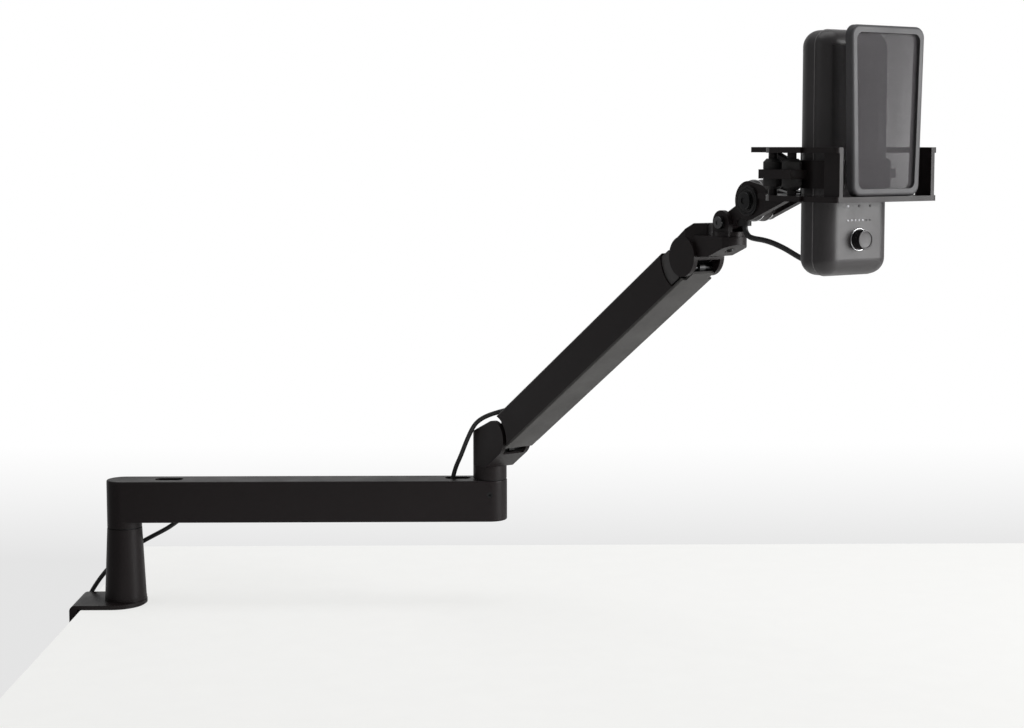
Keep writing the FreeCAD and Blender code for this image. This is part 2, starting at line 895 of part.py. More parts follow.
def make_tip():
    base_bottom = shelf_z + yoke_gap
    base_top = base_bottom + yoke_base_thickness
    yoke = upright(yoke_base_radius, base_bottom, base_top)
    for y in (-prong_outer, prong_inner):
        y_end = y + prong_outer - prong_inner
        prong = fused(
            box(-prong_radius, prong_radius, y, y_end, base_bottom, knuckle_z),
            cross_rod(prong_radius, y, y_end, 0, knuckle_z),
        )
        yoke = fused(yoke, prong)
    yoke = yoke.cut(cross_rod(pivot_pin_radius + slip, -prong_outer, prong_outer, 0, knuckle_z))
    spindle_top = base_top - yoke_base_thickness / 2
    yoke = yoke.cut(upright(swivel_radius + slip, base_bottom, spindle_top))
    save("yoke", placed(yoke, TIP))
    save("swivel_spindle", placed(upright(swivel_radius, shelf_z - swivel_depth, spindle_top), TIP))
    pin = fused(
        cross_rod(pivot_pin_radius, -prong_outer, prong_outer, 0, knuckle_z),
        cross_rod(pin_head_radius, -prong_outer - pin_head_height, -prong_outer, 0, knuckle_z),
    )
    save("knuckle_pin", placed(pin, TIP))

    hub = (hub_ahead, hub_z)
    along = (math.cos(math.radians(neck_angle)), math.sin(math.radians(neck_angle)))
    across = (-along[1] * neck_half_height, along[0] * neck_half_height)

    def bar(length, half_width):
        end = (along[0] * length, knuckle_z + along[1] * length)
        outline = [
            (-across[0], knuckle_z - across[1]),
            (end[0] - across[0], end[1] - across[1]),
            (end[0] + across[0], end[1] + across[1]),
            (across[0], knuckle_z + across[1]),
        ]
        return side_slab(outline, -half_width, half_width)

    neck = fused(
        cross_rod(neck_eye_radius, -neck_half_width, neck_half_width, 0, knuckle_z),
        bar(neck_length - rim_radius - running_gap, neck_half_width),
        bar(neck_length, hub_half_width),
        cross_rod(hub_radius, -hub_half_width, hub_half_width, *hub),
    )
    neck = neck.cut(cross_rod(pivot_pin_radius + slip, -neck_half_width, neck_half_width, 0, knuckle_z))
    neck = neck.cut(cross_rod(pivot_pin_radius + slip, -neck_half_width, neck_half_width, *hub))
    save("neck_link", placed(neck, TIP))
    gland_bottom = knuckle_z - gland_drop
    gland = upright(gland_radius, gland_bottom, knuckle_z + gland_radius, gland_ahead).cut(neck)
    gland = min(gland.Solids, key=lambda solid: solid.BoundBox.ZMin)
    gland = gland.cut(upright(gland_bore, gland_bottom, gland_bottom + gland_hole, gland_ahead))
    save("cable_gland", placed(gland, TIP))
    rims = []
    for y in (-hub_half_width - rim_thickness, hub_half_width):
        rim = cross_rod(rim_radius, y, y + rim_thickness, *hub)
        rims.append(rim.cut(cross_rod(pivot_pin_radius + slip, y, y + rim_thickness, *hub)))
    save("hub_washers", placed(group(rims), TIP))


# Shock mount


def mount_outline(tail):
    """Plan of a horseshoe plate, open to the front, with a tail behind."""
    bay = (mount_bay_back - mount_bay_corner, mount_arm_inner - mount_bay_corner)
    nip = mount_bay_corner * math.sqrt(0.5)
    shoulder = (mount_corner_x - tail_half_width, (mount_half_width + tail_half_width) / 2 + post_radius)
    root = -mount_bay_back - tail_half_width
    return [
        (mount_front, -mount_half_width),
        (mount_corner_x, -mount_half_width),
        ((shoulder[0], -shoulder[1]), (root, -tail_half_width)),
        (-tail, -tail_half_width),
        (-tail, tail_half_width),
        (root, tail_half_width),
        (shoulder, (mount_corner_x, mount_half_width)),
        (mount_front, mount_half_width),
        (mount_front, mount_arm_inner),
        (-bay[0], mount_arm_inner),
        ((-bay[0] - nip, bay[1] + nip), (-mount_bay_back, bay[1])),
        (-mount_bay_back, -bay[1]),
        ((-bay[0] - nip, -bay[1] - nip), (-bay[0], -mount_arm_inner)),
        (mount_front, -mount_arm_inner),
    ]


def make_mount():
    hub = (-hub_behind, hub_z)
    ear_start = hub_half_width + rim_thickness
    ear_outer = ear_start + ear_thickness
    root = [
        hub,
        polar(hub, ear_radius, -60),
        (ear_root_x, lower_plate_bottom),
        (ear_root_x, lower_plate_top),
        polar(hub, ear_radius, 70),
    ]
    lower = slab(mount_outline(lower_tail), lower_plate_bottom, lower_plate_top)
    lower = lower.cut(cross_rod(rim_radius + running_gap, -ear_start, ear_start, *hub))
    for y in (-ear_outer, ear_start):
        ear = fused(cross_rod(ear_radius, y, y + ear_thickness, *hub), side_slab(root, y, y + ear_thickness))
        lower = fused(lower, ear)
    lower = lower.cut(cross_rod(pivot_pin_radius + slip, -ear_outer, ear_outer, *hub))
    save("mount_plate_lower", placed(lower, MIC))

    upper = slab(mount_outline(upper_tail), upper_plate_bottom, upper_plate_top)
    spine_front = spine_x + spine_thickness
    spine = box(
        spine_x, spine_front, -spine_half_width, spine_half_width, lower_plate_top, upper_plate_bottom
    )
    strut = [
        (-upper_tail + strut_half_width, upper_plate_bottom),
        (-upper_tail + 3 * strut_half_width, upper_plate_bottom),
        (spine_x, suspension_z + strut_half_width),
        (spine_x, suspension_z - strut_half_width),
    ]
    upper = fused(upper, spine, side_slab(strut, -strut_half_width, strut_half_width))
    upper = upper.cut(cross_rod(rim_radius + running_gap, -ear_start, ear_start, *hub))
    for y in (-ear_outer, ear_start):
        clear = cross_rod(ear_radius + part_line, y, y + ear_thickness, *hub)
        upper = upper.cut(clear.fuse(side_slab(root, y, y + ear_thickness)))
    save("mount_plate_upper", placed(upper, MIC))

    places = [(x, y) for x in post_places for y in (-post_side, post_side)]
    posts = [upright(post_radius, lower_plate_top, upper_plate_bottom, x, y) for x, y in places]
    save("mount_posts", placed(group(posts), MIC))

    low = suspension_z - isolator_half_height
    high = suspension_z + isolator_half_height
    groove = tongue_half_height + part_line
    profile = [
        (post_radius + slip, low),
        (isolator_radius - isolator_round, low),
        (isolator_radius, low + isolator_round),
        (isolator_radius, suspension_z - groove),
        (isolator_groove_radius, suspension_z - groove),
        (isolator_groove_radius, suspension_z + groove),
        (isolator_radius, suspension_z + groove),
        (isolator_radius, high - isolator_round),
        (isolator_radius - isolator_round, high),
        (post_radius + slip, high),
    ]
    save("isolators", placed(group([turned(profile, x, y) for x, y in places]), MIC))

    play = mic_edge_play()
    band = slab(
        rounded(mic_depth + 2 * cradle_wall, mic_width + 2 * cradle_wall, mic_corner + cradle_wall),
        suspension_z - cradle_half_height, suspension_z + cradle_half_height,
    )
    tongue = box(
        min(post_places) - tongue_margin, max(post_places) + tongue_margin,
        -mount_half_width, mount_half_width,
        suspension_z - tongue_half_height, suspension_z + tongue_half_height,
    )
    cradle = fused(band, tongue)
    hole = slab(
        rounded(mic_depth + 2 * play, mic_width + 2 * play, mic_corner + play),
        suspension_z - cradle_half_height, suspension_z + cradle_half_height,
    )
    cradle = cradle.cut(hole)
    grip_radius = isolator_groove_radius + slip
    cradle = cradle.cut(
        [
            upright(grip_radius, suspension_z - tongue_half_height, suspension_z + tongue_half_height, x, y)
            for x, y in places
        ]
    )
    save("cradle", placed(cradle, MIC))

    head_y = -ear_outer - bolt_head_height
    bolt = fused(
        cross_rod(pivot_pin_radius, -ear_outer, ear_outer + hub_knob_height * 0.6, *hub),
        cross_rod(hub_bolt_head_radius, head_y, -ear_outer, *hub),
    )
    save("hub_bolt", placed(bolt, MIC))
    knob = lobed(hub_knob_radius, hub_knob_height, hub_knob_lobes, hub_knob_scallop, 0)
    knob = knob.cut(upright(pivot_pin_radius + slip, 0, hub_knob_height * 0.6 + slip))
    knob.rotate(V(0, 0, 0), V(1, 0, 0), -90)
    knob.translate(V(hub[0], ear_outer + slip, hub[1]))
    save("hub_knob", placed(knob, MIC))


def mic_edge_play():
    return part_line + slip


# Microphone


def mic_body(inset):
    """The microphone's round-cornered body, drawn in by inset all over."""
    half = mic_height / 2 - inset
    outline = rounded(mic_depth - 2 * inset, mic_width - 2 * inset, mic_corner - inset)
    body = slab(outline, mic_z - half, mic_z + half)
    edges = [e for e in body.Edges if e.BoundBox.ZLength < 1e-4]
    return body.makeFillet(mic_edge - inset, edges)


def make_microphone():
    wall = mic_body(0).cut(mic_body(mic_wall))
    front_x = mic_depth / 2
    tall = mic_height
    front = wall.common(box(seam_x, front_x, -mic_width, mic_width, mic_z - tall, mic_z + tall))
    rear = wall.common(box(-front_x, seam_x, -mic_width, mic_width, mic_z - tall, mic_z + tall))

    def window(play):
        half = grille_half_width - play
        return box(seam_x * 2, front_x, -half, half, mic_z + grille_low + play, mic_z + grille_high - play)

    dial_z = mic_z - dial_drop
    front = front.cut([window(0), along_x(stem_radius + 2 * slip, 0, front_x, 0, dial_z)])
    save("mic_front_shell", placed(front, MIC))
    save("mic_rear_shell", placed(rear, MIC))
    save("mic_grille", placed(wall.common(window(part_line)), MIC))

    capsule_z = mic_z + capsule_rise
    inner_back = -front_x + mic_wall
    capsule = fused(
        along_x(capsule_stem_radius, inner_back, 0, 0, capsule_z),
        along_x(capsule_radius, 0, capsule_thickness, 0, capsule_z),
    )
    save("mic_capsule", placed(capsule, MIC))

    dial_back = front_x + dial_travel_gap
    dial_front = dial_back + dial_height
    stem_front = dial_front - dial_skirt
    flange_end = front_x - mic_wall - stem_flange_gap
    plunger = fused(
        along_x(stem_radius, stem_back, stem_front, 0, dial_z),
        along_x(stem_flange_radius, flange_end - stem_flange_thickness, flange_end, 0, dial_z),
    )
    save("dial_plunger", placed(plunger, MIC))
    dial = along_x(dial_radius, dial_back, dial_front, 0, dial_z)
    dial = dial.cut(along_x(stem_radius + slip, dial_back, stem_front + slip, 0, dial_z))
    save("gain_knob", placed(dial, MIC))

    port_z = mic_z - port_drop
    plug_end = -front_x - plug_length
    body = rounded_front(
        2 * plug_half_width, 2 * plug_half_height, plug_half_height * 0.8, plug_end, inner_back, port_z
    )
    relief_start = V(plug_end - relief_length, 0, port_z)
    relief = Part.makeCone(cable_radius + 2 * slip, relief_radius, relief_length, relief_start, V(1, 0, 0))
    save("mic_plug", placed(fused(body.cut(mic_body(0)), relief), MIC))


# Pop filter


def make_filter():
    back = mount_front + filter_gap
    wall_outer = filter_wall_inner + filter_wall
    pieces = []
    for side in (-1, 1):
        low, high = sorted((side * filter_wall_inner, side * filter_half_width))
        for z in (lower_plate_bottom, upper_plate_bottom):
            pieces.append(box(back, filter_front, low, high, z, z + mount_plate_thickness))
        low, high = sorted((side * filter_wall_inner, side * wall_outer))
        pieces.append(box(filter_web_back, filter_front, low, high, lower_plate_bottom, upper_plate_top))
    bar = box(
        filter_bar_back, filter_front, -filter_wall_inner, filter_wall_inner,
        lower_plate_bottom, lower_plate_top - part_line,
    )
    arms = fused(bar, *pieces)

    def front_edge(bounds):
        outer = abs(max(abs(bounds.YMin), abs(bounds.YMax)) - filter_half_width) < 1e-4
        return outer and bounds.ZLength > part_line and abs(bounds.XMin - filter_front) < 1e-4

    arms = eased(arms, filter_round - slip, front_edge)
    save("filter_arms", placed(arms, MIC))

    panel_back = panel_ahead - panel_depth / 2
    panel_front = panel_ahead + panel_depth / 2
    hole_corner = panel_corner - panel_border / 2
    frame = tapered_front(0, panel_corner, panel_back, panel_front)
    frame = eased(frame, panel_round, lambda bounds: bounds.XMin > panel_front - part_line)
    frame = frame.cut(tapered_front(panel_border, hole_corner, panel_back, panel_front))
    save("filter_frame", placed(frame, MIC))
    inset = panel_border + part_line / 2
    sheets = []
    for x in (panel_back + mesh_setback, panel_front - mesh_setback - mesh_thickness):
        sheets.append(tapered_front(inset, hole_corner, x, x + mesh_thickness))
    save("filter_mesh", placed(group(sheets), MIC))


def tapered_front(inset, corner, x0, x1):
    """An upright slab with the filter panel's outline, wider at the top, drawn in by inset."""
    low = lower_plate_top + inset
    high = lower_plate_top + panel_height - inset
    half_low = panel_width / 2 - inset
    half_high = panel_top_width / 2 - inset
    corners = [
        V(x0, -half_low, low),
        V(x0, half_low, low),
        V(x0, half_high, high),
        V(x0, -half_high, high),
    ]
    face = Part.Face(Part.makePolygon(corners + corners[:1]))
    body = face.extrude(V(x1 - x0, 0, 0))
    edges = [e for e in body.Edges if e.BoundBox.XLength > (x1 - x0) / 2]
    return body.makeFillet(corner, edges)


# Lead


def tube(name, points):
    """A lead along straight runs that tangent arcs join, each arc as large as its two runs allow."""
    edges = []
    radii = []
    here = points[0]
    for before, corner, after in zip(points, points[1:], points[2:]):
        to_here = (corner - before).normalize()
        onward = (after - corner).normalize()
        trim = 0.45 * min((corner - before).Length, (after - corner).Length)
        half_turn = to_here.getAngle(onward) / 2
        radii.append(trim / math.tan(half_turn))
        start = corner - to_here * trim
        end = corner + onward * trim
        bisector = (onward - to_here).normalize()
        sag = radii[-1] / math.cos(half_turn) - radii[-1]
        edges.append(Part.LineSegment(here, start).toShape())
        edges.append(Part.Arc(start, corner + bisector * sag, end).toShape())
        here = end
    edges.append(Part.LineSegment(here, points[-1]).toShape())
    spine = Part.Wire(edges)
    section = Part.Wire(Part.makeCircle(cable_radius, points[0], points[1] - points[0]))
    solid = spine.makePipeShell([section], True, False)
    ideal = math.pi * cable_radius**2 * spine.Length
    bends = ", ".join(f"{r:.0f}" for r in radii)
    print(f"{name}: length {spine.Length:.1f}, volume ratio {solid.Volume / ideal:.4f}, radii {bends}")
    save(name, solid)


def in_frame(frame, points):
    return [frame.multVec(p) for p in points]


def make_lead():
    leave = V(exit_port_x, exit_port_y, beam_bottom - running_gap)
    slant = V(-8.0, 3.0, -6.5)
    tube("cable_base", [
        leave,
        leave + slant,
        V(26.0, 11.0, 58.0),
        V(12.0, 17.5, 50.0),
        V(-3.0, 23.0, 40.0),
        V(-17.0, 27.0, 28.0),
        V(-29.0, 30.0, 14.0),
        V(-38.5, 31.5, -1.0),
        V(coil_x(0) + 1.6, coil_side, -18.0),
        V(coil_x(0), coil_side, -48.0),
        V(coil_x(0), coil_side, -coil_drop + coil_lead_in),
    ])

    port = V(elbow_port_x - 4.1, elbow_port_y + 2.4, beam_top + running_gap)
    climb = V(2.0, -0.2, 7.5)
    inside = beam_bottom + cover_thickness + magnet_height
    tube("cable_beam", [
        leave,
        leave - slant * 0.75,
        V(62.0, 1.6, inside + 6.0),
        V(80.0, 2.6, inside + 10.0),
        V(115.0, 4.0, inside + 10.6),
        V(165.0, 4.4, inside + 9.6),
        V(215.0, 4.0, inside + 10.6),
        V(254.0, 5.0, inside + 12.0),
        V(269.0, 5.2, inside + 16.4),
        port - climb,
        port,
    ])

    over = V(-4.0, -16.9, 147.0)
    lift = V(4.5, 1.1, 7.5)
    tube("cable_elbow_low", [port, port + climb * 1.2] + in_frame(ELBOW, [
        V(-14.0, -20.3, 126.0),
        over - lift,
        over,
    ]))
    side, height = arm_lead_line()
    dive = V(9.0, 0.0, -0.2)
    enter = V(notch_length + 8.0, side, height)
    tube("cable_elbow_high", in_frame(ELBOW, [
        over,
        over + lift * 0.85,
        V(7.3, -13.9, 159.4),
        V(15.5, -10.7, 163.6),
        V(24.5, -7.4, 166.8),
    ]) + in_frame(ARM, [
        V(22.0, side - 0.1, 15.6),
        V(34.0, side, 11.2),
        enter - dive,
        enter,
    ]))
    tube("cable_arm", in_frame(ARM, [
        enter,
        enter + dive * 2.4,
        V(110.0, side, height - 0.2),
        V(170.0, side, height - 0.4),
        V(230.0, side, height - 0.1),
        V(arm_length - core_top_start, side, height - 0.3),
    ]))

    port_z = mic_z - port_drop
    plug_back = hub_ahead + hub_behind - mic_depth / 2 - plug_length - relief_length
    drop = knuckle_z - gland_drop
    tube("cable_mic", in_frame(TIP, [
        V(gland_ahead, 0.0, drop + gland_hole - slip),
        V(gland_ahead, 0.0, drop - 2.1),
        V(gland_ahead + 2.3, 0.1, drop - 6.0),
        V(gland_ahead + 6.2, 0.3, drop - 8.3),
        V(gland_ahead + 22.0, 0.8, drop - 9.3),
        V(gland_ahead + 38.0, 1.0, drop - 13.2),
        V(gland_ahead + 52.0, 0.7, drop - 18.2),
        V(plug_back - 9.6, 0.0, port_z),
        V(plug_back, 0.0, port_z),
    ]))


def coil_x(layer):
    """Height of a coil layer off the clamp's leg, as a place along x."""
    return leg_outer_x - coil_gap - cable_radius - layer * coil_pitch


def half_turn(x, y, radius, side):
    """A flat half turn that starts at height -coil_drop and ends level with it, on the other side."""
    end = y - side * 2 * radius
    middle = V(x, y - side * radius, -coil_drop - side * radius)
    return Part.Arc(V(x, y, -coil_drop), middle, V(x, end, -coil_drop)).toShape(), end


def bent_to(start, tangent, end):
    """The arc that leaves start along tangent and reaches end."""
    chord = end - start
    span = chord.Length
    chord_unit = V(chord).normalize()
    lean = tangent - chord_unit * tangent.dot(chord_unit)
    sag = span / 2 * math.tan(tangent.getAngle(chord) / 2)
    return Part.Arc(start, start + chord * 0.5 + lean.normalize() * sag, end).toShape()


def make_coil():
    """Two flat spirals, one in and one out, joined by a half turn that climbs a layer."""
    step = coil_pitch / 2
    y = coil_side
    start = V(coil_x(0), y, -coil_drop + coil_lead_in)
    edges = [Part.LineSegment(start, V(coil_x(0), y, -coil_drop)).toShape()]
    side = 1
    radius = coil_radius
    for _ in range(coil_half_turns):
        edge, y = half_turn(coil_x(0), y, radius, side)
        edges.append(edge)
        radius -= step
        side = -side
    climb_end = y - side * 2 * radius
    middle_radius = math.hypot(radius, step)
    middle = V((coil_x(0) + coil_x(1)) / 2, y - side * radius, -coil_drop - side * middle_radius)
    first = V(coil_x(0), y, -coil_drop)
    last = V(coil_x(1), climb_end, -coil_drop)
    edges.append(bent_to(first, V(0, 0, -side), middle))
    edges.append(bent_to(last, V(0, 0, -side), middle))
    y = climb_end
    side = -side
    for _ in range(coil_half_turns):
        radius += step
        edge, y = half_turn(coil_x(1), y, radius, side)
        edges.append(edge)
        side = -side
    tail = V(coil_x(1), y, -coil_drop)
    edges.append(Part.LineSegment(tail, tail + V(0, 0, coil_tail)).toShape())
    spine = Part.Wire(edges)
    section = Part.Wire(Part.makeCircle(cable_radius, start, V(0, 0, -1)))
    coil = spine.makePipeShell([section], True, False)
    ideal = math.pi * cable_radius**2 * spine.Length
    print(f"cable_coil: length {spine.Length:.1f}, volume ratio {coil.Volume / ideal:.4f}")
    print(f"cable_coil: least gap to itself {least_gap(spine):.2f}")
    save("cable_coil", coil)

    usb_start = -coil_drop + coil_tail
    body_start = usb_start + usb_relief_length
    tip_start = body_start + usb_length
    relief = Part.makeCone(
        cable_radius + 2 * slip, usb_half_depth - slip, usb_relief_length, V(0, 0, usb_start)
    )
    outline = rounded(2 * usb_half_depth, 2 * usb_half_width, usb_half_depth * 0.6)
    shell = slab(outline, body_start, tip_start)
    tip = slab(
        rounded(2 * usb_tip_half_depth, 2 * usb_tip_half_width, usb_tip_half_depth * 0.9),
        tip_start, tip_start + usb_tip_length,
    )
    plug = fused(relief, shell, tip)
    plug.translate(V(coil_x(1), y, 0))
    save("usb_plug", plug)

    top_radius = coil_radius - step
    centre_y = coil_side - coil_radius
    dip = math.sqrt(radius_at_middle() ** 2 - (tie_width / 2 + step) ** 2)
    low = -coil_drop + dip - cable_radius - part_line
    high = -coil_drop + top_radius + cable_radius + part_line
    near = coil_x(0) + cable_radius + part_line
    far = coil_x(1) - cable_radius - part_line
    half = tie_width / 2
    sides = (centre_y - half, centre_y + half)
    outer = box(far - tie_wall, near + tie_wall, *sides, low - tie_wall, high + tie_wall)
    save("cable_tie", outer.cut(box(far, near, *sides, low, high)))


def radius_at_middle():
    """Radius of the coil's innermost turn across the top."""
    return coil_radius - (coil_half_turns - 1) * coil_pitch / 2


def least_gap(spine):
    """Least clear space between turns, on points along the lead."""
    count = 900
    points = spine.discretize(count)
    spacing = spine.Length / (count - 1)
    skip = int(math.pi * radius_at_middle() / spacing)
    nearest = min(
        (points[i] - points[j]).Length for i in range(count) for j in range(i + skip, count)
    )
    return nearest - 2 * cable_radius


os.makedirs("parts", exist_ok=True)
make_clamp()
make_base()
make_lower_arm()
make_elbow()
make_arm_core()
make_arm_shell()
make_balance()
make_head()
make_tip()
make_mount()
make_microphone()
make_filter()
make_lead()
make_coil()
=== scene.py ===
import math

import bmesh
import bpy
from mathutils import Matrix, Vector


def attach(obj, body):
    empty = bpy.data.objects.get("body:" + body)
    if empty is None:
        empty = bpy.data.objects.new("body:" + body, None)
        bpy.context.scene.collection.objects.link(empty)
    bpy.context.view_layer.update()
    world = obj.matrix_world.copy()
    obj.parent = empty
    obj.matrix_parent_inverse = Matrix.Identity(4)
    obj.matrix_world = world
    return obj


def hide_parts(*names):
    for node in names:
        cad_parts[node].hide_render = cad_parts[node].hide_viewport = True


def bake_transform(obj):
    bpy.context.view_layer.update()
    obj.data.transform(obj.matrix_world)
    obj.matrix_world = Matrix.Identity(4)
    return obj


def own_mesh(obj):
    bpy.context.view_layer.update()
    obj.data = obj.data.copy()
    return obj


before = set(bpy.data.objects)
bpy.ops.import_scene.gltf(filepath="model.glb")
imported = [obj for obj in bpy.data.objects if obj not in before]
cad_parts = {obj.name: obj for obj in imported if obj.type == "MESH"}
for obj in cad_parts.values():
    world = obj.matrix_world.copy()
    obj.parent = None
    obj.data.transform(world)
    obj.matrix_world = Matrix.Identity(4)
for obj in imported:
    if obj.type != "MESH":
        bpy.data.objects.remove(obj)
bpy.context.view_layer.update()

bl_info = {
    "name": "Desk boom arm",
    "version": (1, 0, 0),
    "blender": (4, 5, 0),
    "location": "View3D > Sidebar > Boom arm",
    "description": "Dresses a desk boom arm with its microphone, pop filter and lead",
    "category": "Object",
}

# Frames: the microphone faces along its x, with heights over the desk, and the upper arm runs along its x.
# The hub, the dial and the seam have their places in the microphone's
MIC_YAW = math.radians(-56.0)
MIC = Matrix.Translation((0.544815, -0.357960, 0.0)) @ Matrix.Rotation(MIC_YAW, 4, "Z")
ARM = (
    Matrix.Translation((0.324705, -0.022644, 0.1452))
    @ Matrix.Rotation(math.radians(-57.0), 4, "Z")
    @ Matrix.Rotation(math.radians(-33.2), 4, "Y")
)
MIC_Z = 0.383841
HUB = Vector((-0.0833, 0.0, 0.351041))
DIAL_Z = MIC_Z - 0.0556
MIC_FRONT = 0.015
MIC_HEIGHT = 0.158
MIC_WIDTH = 0.060
MIC_EDGE = 0.011
SEAM_X = 0.0034
SEAM_BEAD_RADIUS = 0.00042
FACE_TURN = Matrix.Rotation(math.radians(90.0), 4, "Y")

# Dial, lamps and marks on the microphone's face
DIAL_GAP = 0.0012
DIAL_DEPTH = 0.0052
RIB_GAP = 0.00008
RIB_SCALE = 0.975
RING_OFFSET = 0.0008
RING_WIRE = 0.0004
ROW_START = -0.0102
LAMP_COUNT = 7
LAMPS_LIT = 5
LAMP_PITCH = 0.0033
LAMP_RISE = 0.0125
LAMP_RADIUS = 0.00062
MARK_COUNT = 3
MARKS_LIT = 1
MARK_PITCH = 0.0099
MARK_RISE = 0.0217
MARK_RADIUS = 0.0008
DOT_DEPTH = 0.0004
DOT_RIM_SHARE = 0.3
DOT_RISE = 0.00008

# Seats of the screw heads and the collar, from the middle of the joint that each is on
KNUCKLE = Vector((0.481577, -0.264206, 0.335069))
PIN_SEAT_Y = -0.0105
COLLAR_SEAT_Y = -0.0094
CAP_SEAT_Y = -0.0124
COLLAR_RADIUS = 0.0104
COLLAR_THICK = 0.0016

# Rings of the dial's face and of the hub's collar from the edge in, each its width and its rise
DIAL_RINGS = ((0.0009, 0.0), (0.0004, -0.0005), (0.0022, -0.0002))
COLLAR_RINGS = ((0.0011, 0.0), (0.0006, -0.0007), (0.0008, 0.0), (0.0004, 0.0005))

# Coil that is put away behind the clamp's leg
COIL_X = -0.0458
COIL_Y = 0.032
COIL_Z = -0.090
COIL_TAIL = (0.012, 0.025)
POINTS_PER_HALF_TURN = 6

# Routes of the lead, in metres
BASE_ROUTE = [
    (0.04600, 0.00300, 0.07150),
    (0.03800, 0.00600, 0.06500),
    (0.02600, 0.01100, 0.05800),
    (0.01200, 0.01750, 0.05000),
    (-0.00300, 0.02300, 0.04000),
    (-0.01700, 0.02700, 0.02800),
    (-0.02900, 0.03000, 0.01400),
    (-0.03850, 0.03150, -0.00100),
    (-0.04420, 0.03200, -0.01800),
    (-0.04580, 0.03200, -0.04800),
    (-0.04580, 0.03200, -0.08620),
]
BEAM_ROUTE = [
    (0.04600, 0.00300, 0.07150),
    (0.05200, 0.00075, 0.07637),
    (0.06200, 0.00160, 0.08250),
    (0.08000, 0.00260, 0.08650),
    (0.11500, 0.00400, 0.08710),
    (0.16500, 0.00440, 0.08610),
    (0.21500, 0.00400, 0.08710),
    (0.25400, 0.00500, 0.08850),
    (0.26900, 0.00520, 0.09290),
    (0.27650, 0.00510, 0.09950),
    (0.27850, 0.00490, 0.10700),
    (0.28090, 0.00466, 0.11600),
    (0.28535, 0.00069, 0.12600),
    (0.29027, -0.00267, 0.13950),
    (0.29365, -0.00585, 0.14700),
]
ARM_ROUTE = [
    (0.29365, -0.00585, 0.14700),
    (0.29652, -0.00855, 0.15338),
    (0.30232, -0.01369, 0.15940),
    (0.30947, -0.01883, 0.16360),
    (0.31714, -0.02458, 0.16680),
    (0.32538, -0.03397, 0.17030),
    (0.33225, -0.04436, 0.17319),
    (0.33810, -0.05336, 0.17687),
    (0.34226, -0.05977, 0.18163),
    (0.35224, -0.07515, 0.19306),
    (0.36784, -0.09916, 0.21213),
    (0.39524, -0.14136, 0.24481),
    (0.42250, -0.18333, 0.27792),
    (0.44717, -0.22131, 0.30732),
]
MIC_ROUTE = [
    (0.490524, -0.277471, 0.336219),
    (0.490524, -0.277471, 0.330969),
    (0.491893, -0.279321, 0.327069),
    (0.494240, -0.282443, 0.324769),
    (0.503489, -0.295262, 0.323769),
    (0.512602, -0.308415, 0.319869),
    (0.520182, -0.320190, 0.314869),
    (0.524349, -0.327617, 0.312341),
    (0.529717, -0.335576, 0.312341),
]


# Settings


class BoomSizes(bpy.types.PropertyGroup):
    lead_diameter: bpy.props.FloatProperty(
        name="Lead diameter", description="Thickness of the lead's jacket", default=0.0038, unit="LENGTH"
    )
    coil_radius: bpy.props.FloatProperty(
        name="Coil radius", description="Radius of the coil's outermost turn", default=0.028, unit="LENGTH"
    )
    coil_pitch: bpy.props.FloatProperty(
        name="Coil pitch", description="Space between turns, middle to middle", default=0.0044, unit="LENGTH"
    )
    coil_half_turns: bpy.props.IntProperty(
        name="Coil half turns", description="Half turns in each of the coil's two layers", default=6
    )
    dial_radius: bpy.props.FloatProperty(
        name="Dial radius", description="Radius of the level dial", default=0.0063, unit="LENGTH"
    )
    mesh_pitch: bpy.props.FloatProperty(
        name="Mesh pitch", description="Space between the filter's wires", default=0.0005, unit="LENGTH"
    )
    spring_turns: bpy.props.IntProperty(
        name="Spring turns", description="Turns of the counterbalance spring", default=26
    )
    desk_thickness: bpy.props.FloatProperty(
        name="Desk thickness", description="Thickness of the stage's desk slab", default=0.028, unit="LENGTH"
    )


def colour_setting(name, description, value):
    return bpy.props.FloatVectorProperty(
        name=name, description=description, default=value, size=3, min=0.0, max=1.0, subtype="COLOR"
    )


class BoomColours(bpy.types.PropertyGroup):
    black_coat: colour_setting("Black coat", "Powder coat of the arm", (0.0100, 0.0074, 0.0078))
    grey_coat: colour_setting("Grey coat", "Cover under the upper arm", (0.040, 0.038, 0.0365))
    trim_coat: colour_setting("Trim coat", "Inlay beside the head joint", (0.052, 0.050, 0.050))
    black_plastic: colour_setting("Black plastic", "Moulded black pieces", (0.0080, 0.0074, 0.0077))
    mic_coat: colour_setting("Microphone coat", "Microphone body and grille", (0.030, 0.0275, 0.0285))
    frame_plastic: colour_setting("Filter frame", "Moulded frame of the pop filter", (0.056, 0.055, 0.058))
    wire: colour_setting("Wire mesh", "Wires of the pop filter", (0.072, 0.067, 0.072))
    steel: colour_setting("Steel", "Turned steel", (0.56, 0.56, 0.57))
    bronze: colour_setting("Bronze", "Turned bushes", (0.60, 0.42, 0.20))
    rubber: colour_setting("Rubber", "Pads and isolators", (0.020, 0.019, 0.019))
    jacket: colour_setting("Lead jacket", "Outside of the lead", (0.017, 0.017, 0.018))
    lamp: colour_setting("Lit lamps", "Small lit lamps on the microphone", (0.40, 0.40, 0.42))
    lamp_out: colour_setting("Unlit lamps", "Small lamps that are out", (0.018, 0.017, 0.018))
    # The seam bead's colour is a painted highlight: lighter than the microphone coat, standing in for the
    # shells' edge catching light.
    seam: colour_setting("Seam highlight bead", "Bead between the microphone's two shells", (0.115, 0.110, 0.112))
    desk: colour_setting("Desk", "Stage's desk slab", (0.945, 0.945, 0.93))


def sizes():
    return bpy.context.scene.boom_sizes


def colours():
    return bpy.context.scene.boom_colours


# Modelling helpers


def deselect():
    if bpy.context.mode != "OBJECT":
        bpy.ops.object.mode_set(mode="OBJECT")
    bpy.ops.object.select_all(action="DESELECT")


def make_active(obj):
    deselect()
    obj.select_set(True)
    bpy.context.view_layer.objects.active = obj


